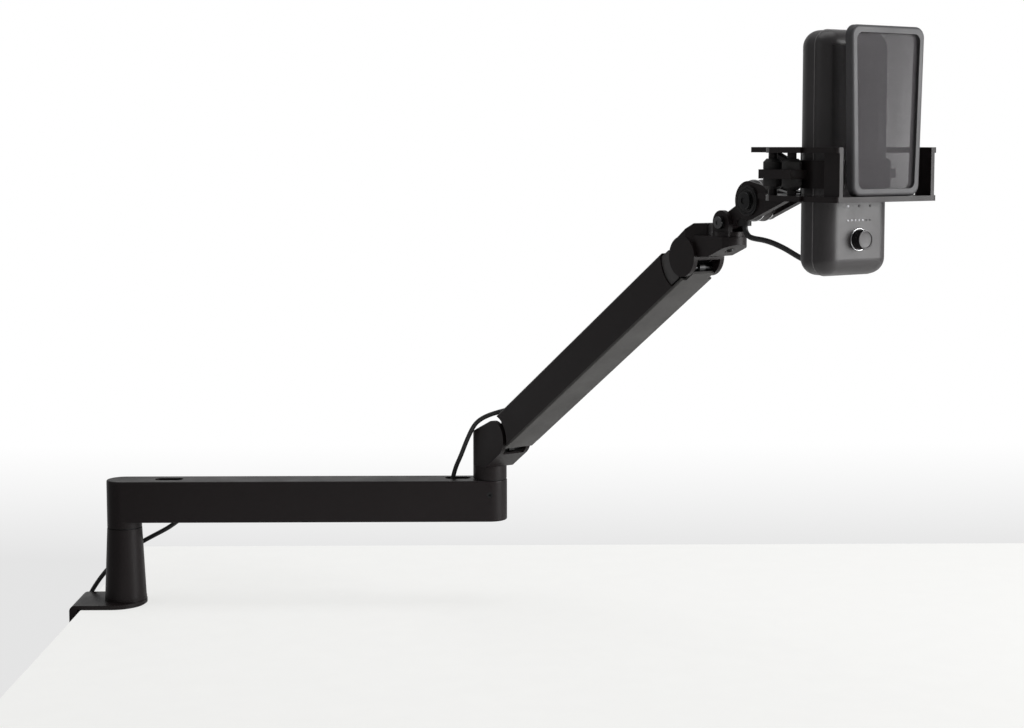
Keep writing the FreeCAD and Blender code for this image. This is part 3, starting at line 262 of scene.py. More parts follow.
def name_new(name):
    obj = bpy.context.active_object
    obj.name = name
    obj.data.name = name
    return obj


def settle(obj, place):
    """Puts an object that was modelled about its own origin in its place, and bakes that into its mesh."""
    obj.matrix_world = place @ obj.matrix_world
    make_active(obj)
    bpy.ops.object.transform_apply(location=True, rotation=True, scale=True)


def pick_faces(obj, wanted):
    """In edit mode, selects the faces whose middle and normal pass a test."""
    bpy.ops.mesh.select_all(action="DESELECT")
    mesh = bmesh.from_edit_mesh(obj.data)
    for face in mesh.faces:
        face.select_set(wanted(face.calc_center_median(), face.normal))
    mesh.select_flush_mode()
    bmesh.update_edit_mesh(obj.data)


def pick_edges(obj, wanted):
    """In edit mode, selects the edges whose two ends pass a test."""
    bpy.ops.mesh.select_mode(type="EDGE")
    bpy.ops.mesh.select_all(action="DESELECT")
    mesh = bmesh.from_edit_mesh(obj.data)
    for edge in mesh.edges:
        edge.select_set(wanted(edge.verts[0].co, edge.verts[1].co))
    bmesh.update_edit_mesh(obj.data)


def is_top(middle, normal):
    return normal.z > 0.9


def inset_rings(rings):
    """In edit mode, insets the selected faces ring by ring."""
    for width, rise in rings:
        bpy.ops.mesh.inset(thickness=width, depth=rise)


def round_edges(obj, width, segments, degrees=30.0):
    """Bevels the active object's edges that are sharper than an angle."""
    bevel = obj.modifiers.new("edge", "BEVEL")
    bevel.width = width
    bevel.segments = segments
    bevel.limit_method = "ANGLE"
    bevel.angle_limit = math.radians(degrees)
    bpy.ops.object.modifier_apply(modifier="edge")


def tube(name, path, radius, resolution):
    """A round mesh tube along a path of points, with closed ends."""
    curve = bpy.data.curves.new(name, "CURVE")
    curve.dimensions = "3D"
    spline = curve.splines.new("POLY")
    spline.points.add(len(path) - 1)
    for point, place in zip(spline.points, path):
        point.co = (*place, 1.0)
    curve.bevel_depth = radius
    curve.bevel_resolution = resolution
    curve.use_fill_caps = True
    obj = bpy.data.objects.new(name, curve)
    bpy.context.scene.collection.objects.link(obj)
    make_active(obj)
    bpy.ops.object.convert(target="MESH")
    return name_new(name)


def smooth(obj, degrees=35.0):
    make_active(obj)
    bpy.ops.object.shade_smooth_by_angle(angle=math.radians(degrees))


def finish_piece(obj, body, material):
    obj.data.materials.clear()
    obj.data.materials.append(material)
    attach(obj, body)


# Shader groups

# Swing of the roughness with the grain, and the height at which a wire starts
GRAIN_SWING = 0.12
WIRE_EDGE = 0.04


def new_group(name, inputs, outputs):
    tree = bpy.data.node_groups.new(name, "ShaderNodeTree")
    for label, kind, value in inputs:
        socket = tree.interface.new_socket(label, in_out="INPUT", socket_type=kind)
        if value is not None:
            socket.default_value = value
    for label, kind in outputs:
        tree.interface.new_socket(label, in_out="OUTPUT", socket_type=kind)
    return tree, tree.nodes.new("NodeGroupInput"), tree.nodes.new("NodeGroupOutput")


def math_node(tree, operation, a, b=None, clamp=False):
    node = tree.nodes.new("ShaderNodeMath")
    node.operation = operation
    node.use_clamp = clamp
    for k, value in enumerate((a, b)):
        if value is None:
            continue
        if isinstance(value, (int, float)):
            node.inputs[k].default_value = value
        else:
            tree.links.new(value, node.inputs[k])
    return node.outputs[0]


def noise_node(tree, vector, scale, detail, roughness=0.55):
    node = tree.nodes.new("ShaderNodeTexNoise")
    node.inputs["Detail"].default_value = detail
    node.inputs["Roughness"].default_value = roughness
    tree.links.new(vector, node.inputs["Vector"])
    if isinstance(scale, (int, float)):
        node.inputs["Scale"].default_value = scale
    else:
        tree.links.new(scale, node.inputs["Scale"])
    return node.outputs["Fac"]


def range_node(tree, value, low, high, to_low, to_high):
    node = tree.nodes.new("ShaderNodeMapRange")
    tree.links.new(value, node.inputs["Value"])
    for label, number in (("From Min", low), ("From Max", high), ("To Min", to_low), ("To Max", to_high)):
        if isinstance(number, (int, float)):
            node.inputs[label].default_value = number
        else:
            tree.links.new(number, node.inputs[label])
    return node.outputs["Result"]


def shaded_colour(tree, colour, factor):
    """A colour made lighter or darker by a factor about 1."""
    node = tree.nodes.new("ShaderNodeMix")
    node.data_type = "RGBA"
    node.blend_type = "MULTIPLY"
    node.inputs["Factor"].default_value = 1.0
    tree.links.new(colour, node.inputs["A"])
    tree.links.new(factor, node.inputs["B"])
    return node.outputs["Result"]


def coat_group():
    """Fine orange-peel grain of a powder coat or a moulding, with soft handling marks."""
    tree, given, out = new_group(
        "satin_grain",
        [
            ("Vector", "NodeSocketVector", None),
            ("Colour", "NodeSocketColor", (0.5, 0.5, 0.5, 1.0)),
            ("Grain", "NodeSocketFloat", 1400.0),
            ("Gloss low", "NodeSocketFloat", 0.35),
            ("Gloss high", "NodeSocketFloat", 0.5),
            ("Mottle", "NodeSocketFloat", 0.12),
        ],
        [("Colour", "NodeSocketColor"), ("Roughness", "NodeSocketFloat"), ("Height", "NodeSocketFloat")],
    )
    vector = given.outputs["Vector"]
    sleek = given.outputs["Gloss low"]
    dull = given.outputs["Gloss high"]
    grain = noise_node(tree, vector, scale=given.outputs["Grain"], detail=2.0)
    marks = noise_node(tree, vector, scale=24.0, detail=5.0, roughness=0.62)
    broad = noise_node(tree, vector, scale=7.0, detail=2.0)
    fine = noise_node(tree, vector, scale=320.0, detail=2.0)
    rough = range_node(tree, marks, low=0.35, high=0.68, to_low=dull, to_high=sleek)
    swing = math_node(tree, "SUBTRACT", grain, 0.5)
    rough = math_node(tree, "ADD", rough, math_node(tree, "MULTIPLY", swing, GRAIN_SWING))
    broad_swing = math_node(tree, "SUBTRACT", broad, 0.5)
    fine_swing = math_node(tree, "SUBTRACT", fine, 0.5)
    spread = math_node(tree, "ADD", broad_swing, fine_swing)
    factor = math_node(tree, "ADD", 1.0, math_node(tree, "MULTIPLY", spread, given.outputs["Mottle"]))
    tree.links.new(shaded_colour(tree, given.outputs["Colour"], factor), out.inputs["Colour"])
    tree.links.new(rough, out.inputs["Roughness"])
    tree.links.new(grain, out.inputs["Height"])
    return tree


def brushed_group():
    """Fine turning lines and slight oil film of machined metal."""
    tree, given, out = new_group(
        "turned_lines",
        [
            ("Vector", "NodeSocketVector", None),
            ("Colour", "NodeSocketColor", (0.5, 0.5, 0.5, 1.0)),
            ("Gloss low", "NodeSocketFloat", 0.22),
            ("Gloss high", "NodeSocketFloat", 0.4),
        ],
        [("Colour", "NodeSocketColor"), ("Roughness", "NodeSocketFloat"), ("Height", "NodeSocketFloat")],
    )
    stretch = tree.nodes.new("ShaderNodeMapping")
    stretch.inputs["Scale"].default_value = (1.0, 1.0, 14.0)
    tree.links.new(given.outputs["Vector"], stretch.inputs["Vector"])
    sleek = given.outputs["Gloss low"]
    dull = given.outputs["Gloss high"]
    lines = noise_node(tree, stretch.outputs["Vector"], scale=160.0, detail=4.0, roughness=0.7)
    film = noise_node(tree, given.outputs["Vector"], scale=60.0, detail=3.0)
    rough = range_node(tree, lines, low=0.3, high=0.7, to_low=sleek, to_high=dull)
    factor = range_node(tree, film, low=0.3, high=0.7, to_low=0.88, to_high=1.06)
    tree.links.new(shaded_colour(tree, given.outputs["Colour"], factor), out.inputs["Colour"])
    tree.links.new(rough, out.inputs["Roughness"])
    tree.links.new(lines, out.inputs["Height"])
    return tree


def mesh_group():
    """Crossed round wires: a mask that is 1 on a wire, and the wires' height."""
    tree, given, out = new_group(
        "crossed_wires",
        [
            ("Vector", "NodeSocketVector", None),
            ("Pitch", "NodeSocketFloat", 0.0011),
            ("Wire share", "NodeSocketFloat", 0.62),
        ],
        [("Mask", "NodeSocketFloat"), ("Height", "NodeSocketFloat")],
    )
    split = tree.nodes.new("ShaderNodeSeparateXYZ")
    tree.links.new(given.outputs["Vector"], split.inputs["Vector"])
    heights = []
    for axis in ("Y", "Z"):
        steps = math_node(tree, "DIVIDE", split.outputs[axis], given.outputs["Pitch"])
        offset = math_node(tree, "SUBTRACT", math_node(tree, "FRACT", steps), 0.5)
        across = math_node(tree, "ABSOLUTE", offset)
        half_wire = math_node(tree, "MULTIPLY", given.outputs["Wire share"], 0.5)
        share = math_node(tree, "DIVIDE", across, half_wire)
        bow = math_node(tree, "SUBTRACT", 1.0, math_node(tree, "MULTIPLY", share, share), clamp=True)
        heights.append(math_node(tree, "SQRT", bow))
    top = math_node(tree, "MAXIMUM", heights[0], heights[1])
    tree.links.new(top, out.inputs["Height"])
    tree.links.new(math_node(tree, "GREATER_THAN", top, WIRE_EDGE), out.inputs["Mask"])
    return tree


# Materials


GROUPS = {}
MATERIALS = {}

# Wires: share of the pitch that is wire, and the grille's pitch against the filter's
FILTER_WIRE_SHARE = 0.25
GRILLE_WIRE_SHARE = 0.6
GRILLE_PITCH_FACTOR = 1.1

# Shares of bright steel's colour that its darker finishes have
DARK_SHARE = 0.2
BLACKENED_SHARE = 0.07


def base_material(name):
    """A new material, and what its shading is built from: tree, shader and place on the part."""
    material = bpy.data.materials.new(name)
    material.use_nodes = True
    tree = material.node_tree
    shader = tree.nodes["Principled BSDF"]
    where = tree.nodes.new("ShaderNodeTexCoord")
    MATERIALS[name] = material
    return tree, shader, where.outputs["Object"]


def bump(tree, shader, height, strength, distance):
    node = tree.nodes.new("ShaderNodeBump")
    node.inputs["Strength"].default_value = strength
    node.inputs["Distance"].default_value = distance
    tree.links.new(height, node.inputs["Height"])
    tree.links.new(node.outputs["Normal"], shader.inputs["Normal"])


def satin(name, colour, gloss, grain=1400.0, depth=0.00004, mottle=0.12, specular=0.3):
    """A coated or moulded finish."""
    tree, shader, where = base_material(name)
    group = tree.nodes.new("ShaderNodeGroup")
    group.node_tree = GROUPS["satin_grain"]
    group.inputs["Colour"].default_value = (*colour, 1.0)
    group.inputs["Grain"].default_value = grain
    group.inputs["Gloss low"].default_value = gloss[0]
    group.inputs["Gloss high"].default_value = gloss[1]
    group.inputs["Mottle"].default_value = mottle
    tree.links.new(where, group.inputs["Vector"])
    tree.links.new(group.outputs["Colour"], shader.inputs["Base Color"])
    tree.links.new(group.outputs["Roughness"], shader.inputs["Roughness"])
    shader.inputs["Specular IOR Level"].default_value = specular
    bump(tree, shader, group.outputs["Height"], strength=0.35, distance=depth)


def turned(name, colour, gloss):
    """A machined metal."""
    tree, shader, where = base_material(name)
    group = tree.nodes.new("ShaderNodeGroup")
    group.node_tree = GROUPS["turned_lines"]
    group.inputs["Colour"].default_value = (*colour, 1.0)
    group.inputs["Gloss low"].default_value = gloss[0]
    group.inputs["Gloss high"].default_value = gloss[1]
    tree.links.new(where, group.inputs["Vector"])
    tree.links.new(group.outputs["Colour"], shader.inputs["Base Color"])
    tree.links.new(group.outputs["Roughness"], shader.inputs["Roughness"])
    shader.inputs["Metallic"].default_value = 1.0
    bump(tree, shader, group.outputs["Height"], strength=0.25, distance=0.00002)


def wire_sheet(name, colour, pitch, share):
    """Wire mesh with open gaps, set square to the microphone."""
    tree, shader, where = base_material(name)
    turn = tree.nodes.new("ShaderNodeMapping")
    turn.inputs["Rotation"].default_value = (0.0, 0.0, -MIC_YAW)
    tree.links.new(where, turn.inputs["Vector"])
    wires = tree.nodes.new("ShaderNodeGroup")
    wires.node_tree = GROUPS["crossed_wires"]
    wires.inputs["Pitch"].default_value = pitch
    wires.inputs["Wire share"].default_value = share
    tree.links.new(turn.outputs["Vector"], wires.inputs["Vector"])
    grain = tree.nodes.new("ShaderNodeGroup")
    grain.node_tree = GROUPS["satin_grain"]
    grain.inputs["Colour"].default_value = (*colour, 1.0)
    grain.inputs["Gloss low"].default_value = 0.3
    grain.inputs["Gloss high"].default_value = 0.42
    tree.links.new(where, grain.inputs["Vector"])
    tree.links.new(grain.outputs["Colour"], shader.inputs["Base Color"])
    tree.links.new(grain.outputs["Roughness"], shader.inputs["Roughness"])
    tree.links.new(wires.outputs["Mask"], shader.inputs["Alpha"])
    shader.inputs["Metallic"].default_value = 0.35
    bump(tree, shader, wires.outputs["Height"], strength=0.5, distance=0.0002)


def lamp_material(name, colour, strength):
    """A small lamp that glows a little."""
    tree, shader, where = base_material(name)
    glow = noise_node(tree, where, scale=900.0, detail=2.0)
    tint = tree.nodes.new("ShaderNodeRGB")
    tint.outputs[0].default_value = (*colour, 1.0)
    shade = range_node(tree, glow, low=0.0, high=1.0, to_low=0.85, to_high=1.1)
    lit = shaded_colour(tree, tint.outputs[0], shade)
    tree.links.new(lit, shader.inputs["Base Color"])
    tree.links.new(lit, shader.inputs["Emission Color"])
    shader.inputs["Emission Strength"].default_value = strength
    shader.inputs["Roughness"].default_value = 0.3


def make_materials():
    GROUPS["satin_grain"] = coat_group()
    GROUPS["turned_lines"] = brushed_group()
    GROUPS["crossed_wires"] = mesh_group()
    c = colours()
    satin("black_coat", c.black_coat, (0.32, 0.44), grain=1600.0, depth=0.00005, specular=0.20)
    satin("grey_coat", c.grey_coat, (0.4, 0.55), grain=1600.0, depth=0.00005)
    satin("trim_coat", c.trim_coat, (0.4, 0.55), grain=1600.0, depth=0.00005)
    satin("black_moulding", c.black_plastic, (0.4, 0.56), grain=2200.0, depth=0.00005)
    satin("mic_coat", c.mic_coat, (0.31, 0.43), grain=2600.0, depth=0.00003, mottle=0.08, specular=0.38)
    satin("frame_plastic", c.frame_plastic, (0.38, 0.52), grain=2200.0, mottle=0.08, specular=0.24)
    satin("soft_rubber", c.rubber, (0.55, 0.72), grain=1800.0, depth=0.00006, mottle=0.2, specular=0.25)
    satin("lead_jacket", c.jacket, (0.42, 0.58), grain=2600.0, depth=0.00003, mottle=0.16, specular=0.4)
    turned("steel", c.steel, (0.2, 0.36))
    turned("dark_steel", [v * DARK_SHARE for v in c.steel], (0.34, 0.5))
    turned("blackened_steel", [v * BLACKENED_SHARE for v in c.steel], (0.36, 0.52))
    # Painted highlight: the seam bead gets a lighter colour than the microphone coat.
    satin("seam_highlight_bead", c.seam, (0.3, 0.42), grain=2600.0, depth=0.00003, mottle=0.08, specular=0.4)
    turned("bronze", c.bronze, (0.25, 0.4))
    turned("dial_edge", c.steel, (0.14, 0.24))
    pitch = sizes().mesh_pitch
    wire_sheet("wire_mesh", c.wire, pitch, FILTER_WIRE_SHARE)
    wire_sheet("grille_wire", c.mic_coat, pitch * GRILLE_PITCH_FACTOR, GRILLE_WIRE_SHARE)
    lamp_material("level_lamp", c.lamp, strength=0.4)
    satin("lamp_out", c.lamp_out, (0.3, 0.42), grain=2600.0, depth=0.00003, mottle=0.08)


NODE_FINISH = {
    "black_coat": (
        "clamp_bracket", "base_post", "lower_beam", "elbow_block", "upper_shell", "head_block", "yoke",
        "neck_link", "mount_plate_lower", "mount_plate_upper", "mount_posts", "cradle", "filter_arms",
    ),
    "grey_coat": ("upper_cover",),
    "trim_coat": ("arm_trims",),
    "black_moulding": (
        "clamp_knob", "clamp_jaw_pad", "lower_cover", "cable_gland", "hub_knob", "dial_plunger", "mic_plug",
        "usb_plug", "cable_tie", "mic_capsule", "base_washer", "elbow_washer", "gain_knob",
    ),
    "frame_plastic": ("filter_frame",),
    "mic_coat": ("mic_front_shell", "mic_rear_shell"),
    "soft_rubber": ("clamp_pad_top", "clamp_jaw_rubber", "isolators"),
    "lead_jacket": (
        "cable_base", "cable_beam", "cable_elbow_low", "cable_elbow_high", "cable_arm", "cable_mic",
        "cable_coil",
    ),
    "steel": (
        "base_spindle", "base_bolt", "elbow_spindle", "hub_washers", "clamp_screw", "cover_magnets",
    ),
    "dark_steel": ("arm_core", "counter_spring"),
    "blackened_steel": (
        "knuckle_pin", "hub_bolt", "set_screws", "spring_rod", "tie_link", "elbow_pins", "head_pins",
        "swivel_spindle",
    ),
    "bronze": ("beam_bushes",),
    "wire_mesh": ("filter_mesh",),
    "grille_wire": ("mic_grille",),
}


# Lead


def coil_points():
    """Control points of the coil: each half turn's are its circle's outer corners, twelve to a turn."""
    s = sizes()
    layers = (COIL_X, COIL_X - s.coil_pitch)
    y = COIL_Y
    step = s.coil_pitch / 2
    count = POINTS_PER_HALF_TURN
    points = []
    side = 1
    radii = [s.coil_radius - step * k for k in range(s.coil_half_turns)]
    inner = radii[-1] - step
    turns = [(r, 0.0, 0.0) for r in radii] + [(inner, 0.0, 1.0)] + [(r, 1.0, 1.0) for r in reversed(radii)]
    for radius, level, next_level in turns:
        middle = y - side * radius
        for k in range(count):
            angle = math.pi * (k + 0.5) / count
            reach = radius / math.cos(math.pi / (2 * count))
            rise = level + (next_level - level) * (k + 0.5) / count
            x = layers[0] + (layers[1] - layers[0]) * rise
            across = side * reach * math.cos(angle)
            drop = side * reach * math.sin(angle)
            points.append((x, middle + across, COIL_Z - drop))
        y -= side * 2 * radius
        side = -side
    for rise in COIL_TAIL:
        points.append((layers[1], y, COIL_Z + rise))
    return points


def spline_path(points):
    """Points read from a NURBS spline whose control points are the route's."""
    curve = bpy.data.curves.new("route", "CURVE")
    curve.dimensions = "3D"
    spline = curve.splines.new("NURBS")
    spline.points.add(len(points) - 1)
    for point, place in zip(spline.points, points):
        point.co = (*place, 1.0)
    spline.order_u = 3
    spline.use_endpoint_u = True
    spline.resolution_u = 10
    holder = bpy.data.objects.new("route", curve)
    bpy.context.scene.collection.objects.link(holder)
    bpy.context.view_layer.update()
    line = bpy.data.meshes.new_from_object(holder)
    path = [tuple(v.co) for v in line.vertices]
    bpy.data.objects.remove(holder)
    bpy.data.curves.remove(curve)
    bpy.data.meshes.remove(line)
    return path


def lead_piece(name, route):
    """A round mesh tube along a route's spline, and the path that it follows."""
    path = spline_path(route)
    obj = tube(name, path, sizes().lead_diameter / 2, resolution=5)
    bpy.ops.object.mode_set(mode="EDIT")
    bpy.ops.mesh.select_all(action="SELECT")
    bpy.ops.mesh.remove_doubles(threshold=1e-6)
    bpy.ops.mesh.normals_make_consistent(inside=False)
    bpy.ops.object.mode_set(mode="OBJECT")
    smooth(obj, 50.0)
    obj.data.materials.clear()
    obj.data.materials.append(MATERIALS["lead_jacket"])
    return obj, path


class BOOM_OT_lead(bpy.types.Operator):
    """The lead: below the base, through the lower arm, over the elbow and to the microphone"""

    bl_idname = "boom.lead"
    bl_label = "Lead"

    def execute(self, context):
        base, path = lead_piece("lead_base", BASE_ROUTE + coil_points())
        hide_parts("cable_base", "cable_coil")
        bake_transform(base)
        lower, path = lead_piece("lead_lower", BEAM_ROUTE)
        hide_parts("cable_beam", "cable_elbow_low")
        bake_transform(lower)
        upper, path = lead_piece("lead_upper", ARM_ROUTE)
        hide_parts("cable_elbow_high", "cable_arm")
        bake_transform(upper)
        tail, path = lead_piece("lead_mic", MIC_ROUTE)
        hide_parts("cable_mic")
        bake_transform(tail)
        return {"FINISHED"}


# Finishes and added pieces


class BOOM_OT_finishes(bpy.types.Operator):
    """Coats, metals, rubber and mesh on the pieces that keep their shape"""

    bl_idname = "boom.finishes"
    bl_label = "Finishes"

    def execute(self, context):
        for finish, names in NODE_FINISH.items():
            for name in names:
                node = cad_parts[name]
                node.data.materials.clear()
                node.data.materials.append(MATERIALS[finish])
        bare = [n for n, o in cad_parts.items() if o.data.materials[0].name not in NODE_FINISH]
        if bare:
            raise RuntimeError(f"no finish for {bare}")
        return {"FINISHED"}


class BOOM_OT_dial(bpy.types.Operator):
    """The level dial, with a turned bright edge, a dished face and a grip of fine ribs"""

    bl_idname = "boom.dial"
    bl_label = "Level dial"

    def execute(self, context):
        radius = sizes().dial_radius
        back = MIC_FRONT + DIAL_GAP
        deselect()
        bpy.ops.mesh.primitive_cylinder_add(vertices=72, radius=radius, depth=DIAL_DEPTH)
        dial = name_new("dial_cap")
        bpy.ops.object.mode_set(mode="EDIT")
        bpy.ops.mesh.select_mode(type="FACE")
        pick_faces(dial, is_top)
        inset_rings(DIAL_RINGS)
        pick_faces(dial, lambda middle, normal: abs(normal.z) < 0.3 and middle.xy.length > radius * 0.97)
        bpy.ops.mesh.inset(thickness=RIB_GAP, depth=0.0, use_individual=True)
        bpy.ops.transform.resize(value=(RIB_SCALE, RIB_SCALE, 1.0))
        bpy.ops.object.mode_set(mode="OBJECT")
        round_edges(dial, width=0.00025, segments=2, degrees=50.0)
        smooth(dial)
        face_on = Matrix.Translation((back + DIAL_DEPTH / 2, 0.0, DIAL_Z)) @ FACE_TURN
        settle(dial, MIC @ face_on)
        dial.data.materials.clear()
        dial.data.materials.append(MATERIALS["black_moulding"])
        dial.data.materials.append(MATERIALS["mic_coat"])
        ahead = MIC.to_3x3() @ Vector((1.0, 0.0, 0.0))
        for polygon in dial.data.polygons:
            if polygon.normal.dot(ahead) > 0.5:
                polygon.material_index = 1
        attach(dial, "gain_knob")
        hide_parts("gain_knob")
        deselect()
        bpy.ops.mesh.primitive_torus_add(
            major_radius=radius + RING_OFFSET, minor_radius=RING_WIRE, major_segments=72, minor_segments=12
        )
        ring = name_new("dial_ring")
        bpy.ops.object.mode_set(mode="EDIT")
        bpy.ops.mesh.select_all(action="SELECT")
        bpy.ops.mesh.bisect(
            plane_co=(0.0, 0.0, 0.0), plane_no=(0.0, 0.0, 1.0), use_fill=True, clear_inner=True
        )
        bpy.ops.mesh.select_all(action="SELECT")
        bpy.ops.mesh.normals_make_consistent(inside=False)
        bpy.ops.object.mode_set(mode="OBJECT")
        smooth(ring)
        seat = Matrix.Translation((MIC_FRONT, 0.0, DIAL_Z)) @ FACE_TURN
        settle(ring, MIC @ seat)
        finish_piece(ring, "mount", MATERIALS["dial_edge"])
        return {"FINISHED"}


class BOOM_OT_lamps(bpy.types.Operator):
    """Small level lamps and marks on the microphone's face"""

    bl_idname = "boom.lamps"
    bl_label = "Level lamps"

    def execute(self, context):
        row_z = DIAL_Z + LAMP_RISE
        mark_z = DIAL_Z + MARK_RISE
        lamps = [(ROW_START + LAMP_PITCH * k, row_z, LAMP_RADIUS, k < LAMPS_LIT) for k in range(LAMP_COUNT)]
        marks = [(ROW_START + MARK_PITCH * k, mark_z, MARK_RADIUS, k < MARKS_LIT) for k in range(MARK_COUNT)]
        dots = []
        for y, z, radius, lit in lamps + marks:
            deselect()
            bpy.ops.mesh.primitive_cylinder_add(vertices=20, radius=radius, depth=DOT_DEPTH)
            dot = bpy.context.active_object
            bpy.ops.object.mode_set(mode="EDIT")
            bpy.ops.mesh.select_mode(type="FACE")
            pick_faces(dot, is_top)
            bpy.ops.mesh.inset(thickness=radius * DOT_RIM_SHARE, depth=DOT_RISE)
            bpy.ops.object.mode_set(mode="OBJECT")
            face_on = Matrix.Translation((MIC_FRONT, y, z)) @ FACE_TURN
            settle(dot, MIC @ face_on)
            dot.data.materials.append(MATERIALS["level_lamp" if lit else "lamp_out"])
            dots.append(dot)
        deselect()
        for dot in dots:
            dot.select_set(True)
        bpy.context.view_layer.objects.active = dots[0]
        bpy.ops.object.join()
        rows = name_new("level_lamps")
        smooth(rows)
        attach(rows, "mount")
        return {"FINISHED"}


class BOOM_OT_seam(bpy.types.Operator):
    """Fine bead along the seam between the microphone's two shells, coloured lighter than the shells as a
    painted highlight
    """

    bl_idname = "boom.seam"
    bl_label = "Seam highlight bead"

    def execute(self, context):
        deselect()
        bpy.ops.mesh.primitive_plane_add(size=1.0)
        bead = name_new("mic_seam")
        bead.scale = (MIC_HEIGHT, MIC_WIDTH, 1.0)
        bpy.ops.object.transform_apply(location=True, rotation=True, scale=True)
        bpy.ops.object.mode_set(mode="EDIT")
        bpy.ops.mesh.select_all(action="SELECT")
        bpy.ops.mesh.bevel(offset=MIC_EDGE, segments=12, affect="VERTICES")
        bpy.ops.mesh.select_all(action="SELECT")
        bpy.ops.mesh.delete(type="ONLY_FACE")
        bpy.ops.object.mode_set(mode="OBJECT")
        bpy.ops.object.convert(target="CURVE")
        bead = bpy.context.active_object
        bead.data.bevel_depth = SEAM_BEAD_RADIUS
        bead.data.bevel_resolution = 3
        bpy.ops.object.convert(target="MESH")
        bead = name_new("mic_seam")
        smooth(bead, 60.0)
        seat = Matrix.Translation((SEAM_X, 0.0, MIC_Z)) @ FACE_TURN
        settle(bead, MIC @ seat)
        finish_piece(bead, "mount", MATERIALS["seam_highlight_bead"])
        return {"FINISHED"}


def socket_head(name, radius, height, key):
    """A screw head with a round edge and a hexagon socket, its seat at the origin and its top up."""
    deselect()
    middle = (0.0, 0.0, height / 2)
    bpy.ops.mesh.primitive_cylinder_add(vertices=48, radius=radius, depth=height, location=middle)
    head = name_new(name)
    bpy.ops.object.transform_apply(location=True, rotation=True, scale=True)
    bpy.ops.object.mode_set(mode="EDIT")
    pick_edges(head, lambda a, b: a.z > height * 0.9 and b.z > height * 0.9)
    bpy.ops.mesh.bevel(offset=height * 0.3, segments=4, affect="EDGES")
    bpy.ops.object.mode_set(mode="OBJECT")
    deselect()
    bpy.ops.mesh.primitive_cylinder_add(vertices=6, radius=key, depth=height, location=(0.0, 0.0, height))
    cutter = bpy.context.active_object
    make_active(head)
    cut = head.modifiers.new("socket", "BOOLEAN")
    cut.operation = "DIFFERENCE"
    cut.solver = "EXACT"
    cut.object = cutter
    bpy.ops.object.modifier_apply(modifier="socket")
    bpy.data.objects.remove(cutter)
    smooth(head)
    return head


class BOOM_OT_screw_heads(bpy.types.Operator):
    """Socket heads on the hub bolt and the knuckle pin, and the collar under the first"""

    bl_idname = "boom.screw_heads"
    bl_label = "Screw heads"

    def execute(self, context):
        toward = Matrix.Rotation(math.radians(90.0), 4, "X")
        tip = Matrix.Translation((KNUCKLE.x, KNUCKLE.y, 0.0)) @ Matrix.Rotation(MIC_YAW, 4, "Z")
        head = socket_head("knuckle_pin_head", radius=0.0042, height=0.0012, key=0.0017)
        settle(head, tip @ Matrix.Translation((0.0, PIN_SEAT_Y, KNUCKLE.z)) @ toward)
        finish_piece(head, "yoke", MATERIALS["dark_steel"])
        head = socket_head("hub_bolt_cap", radius=0.0060, height=0.0012, key=0.0026)
        settle(head, MIC @ Matrix.Translation((HUB.x, CAP_SEAT_Y, HUB.z)) @ toward)
        finish_piece(head, "mount", MATERIALS["blackened_steel"])
        middle = (0.0, 0.0, COLLAR_THICK / 2)
        deselect()
        bpy.ops.mesh.primitive_cylinder_add(
            vertices=72, radius=COLLAR_RADIUS, depth=COLLAR_THICK, location=middle
        )
        collar = name_new("hub_collar")
        bpy.ops.object.transform_apply(location=True, rotation=True, scale=True)
        bpy.ops.object.mode_set(mode="EDIT")
        bpy.ops.mesh.select_mode(type="FACE")
        pick_faces(collar, is_top)
        inset_rings(COLLAR_RINGS)
        bpy.ops.object.mode_set(mode="OBJECT")
        round_edges(collar, width=0.0002, segments=2)
        smooth(collar)
        settle(collar, MIC @ Matrix.Translation((HUB.x, COLLAR_SEAT_Y, HUB.z)) @ toward)
        finish_piece(collar, "mount", MATERIALS["black_moulding"])
        return {"FINISHED"}


class BOOM_OT_spring(bpy.types.Operator):
    """The wound counterbalance spring in the upper arm"""

    bl_idname = "boom.spring"
    bl_label = "Counterbalance spring"

    def execute(self, context):
        wire = 0.0007
        radius = 0.0031
        start = 0.0634
        end = 0.1443
        rod_line = 0.0032
        steps = 16
        count = sizes().spring_turns * steps
        path = []
        for k in range(count + 1):
            angle = 2 * math.pi * k / steps
            x = start + (end - start) * k / count
            path.append((x, radius * math.cos(angle), rod_line + radius * math.sin(angle)))
        spring = tube("balance_spring", path, wire, resolution=2)
        smooth(spring, 60.0)
        settle(spring, ARM)
        finish_piece(spring, "spring_rod", MATERIALS["dark_steel"])
        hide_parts("counter_spring")
        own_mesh(spring)
        return {"FINISHED"}


# Stage

# Share of the backdrop's glow that reflections see, and of the desk's look that the camera sees even
MIRRORED_SHARE = 0.4
EVEN_SHARE = 0.7


def area_light(name, place, aim, size, power):
    data = bpy.data.lights.new(name, "AREA")
    data.shape = "RECTANGLE"
    data.size, data.size_y = size
    data.energy = power
    lamp = bpy.data.objects.new(name, data)
    lamp.location = place
    lamp.rotation_euler = (Vector(aim) - Vector(place)).to_track_quat("-Z", "Y").to_euler()
    bpy.context.scene.collection.objects.link(lamp)


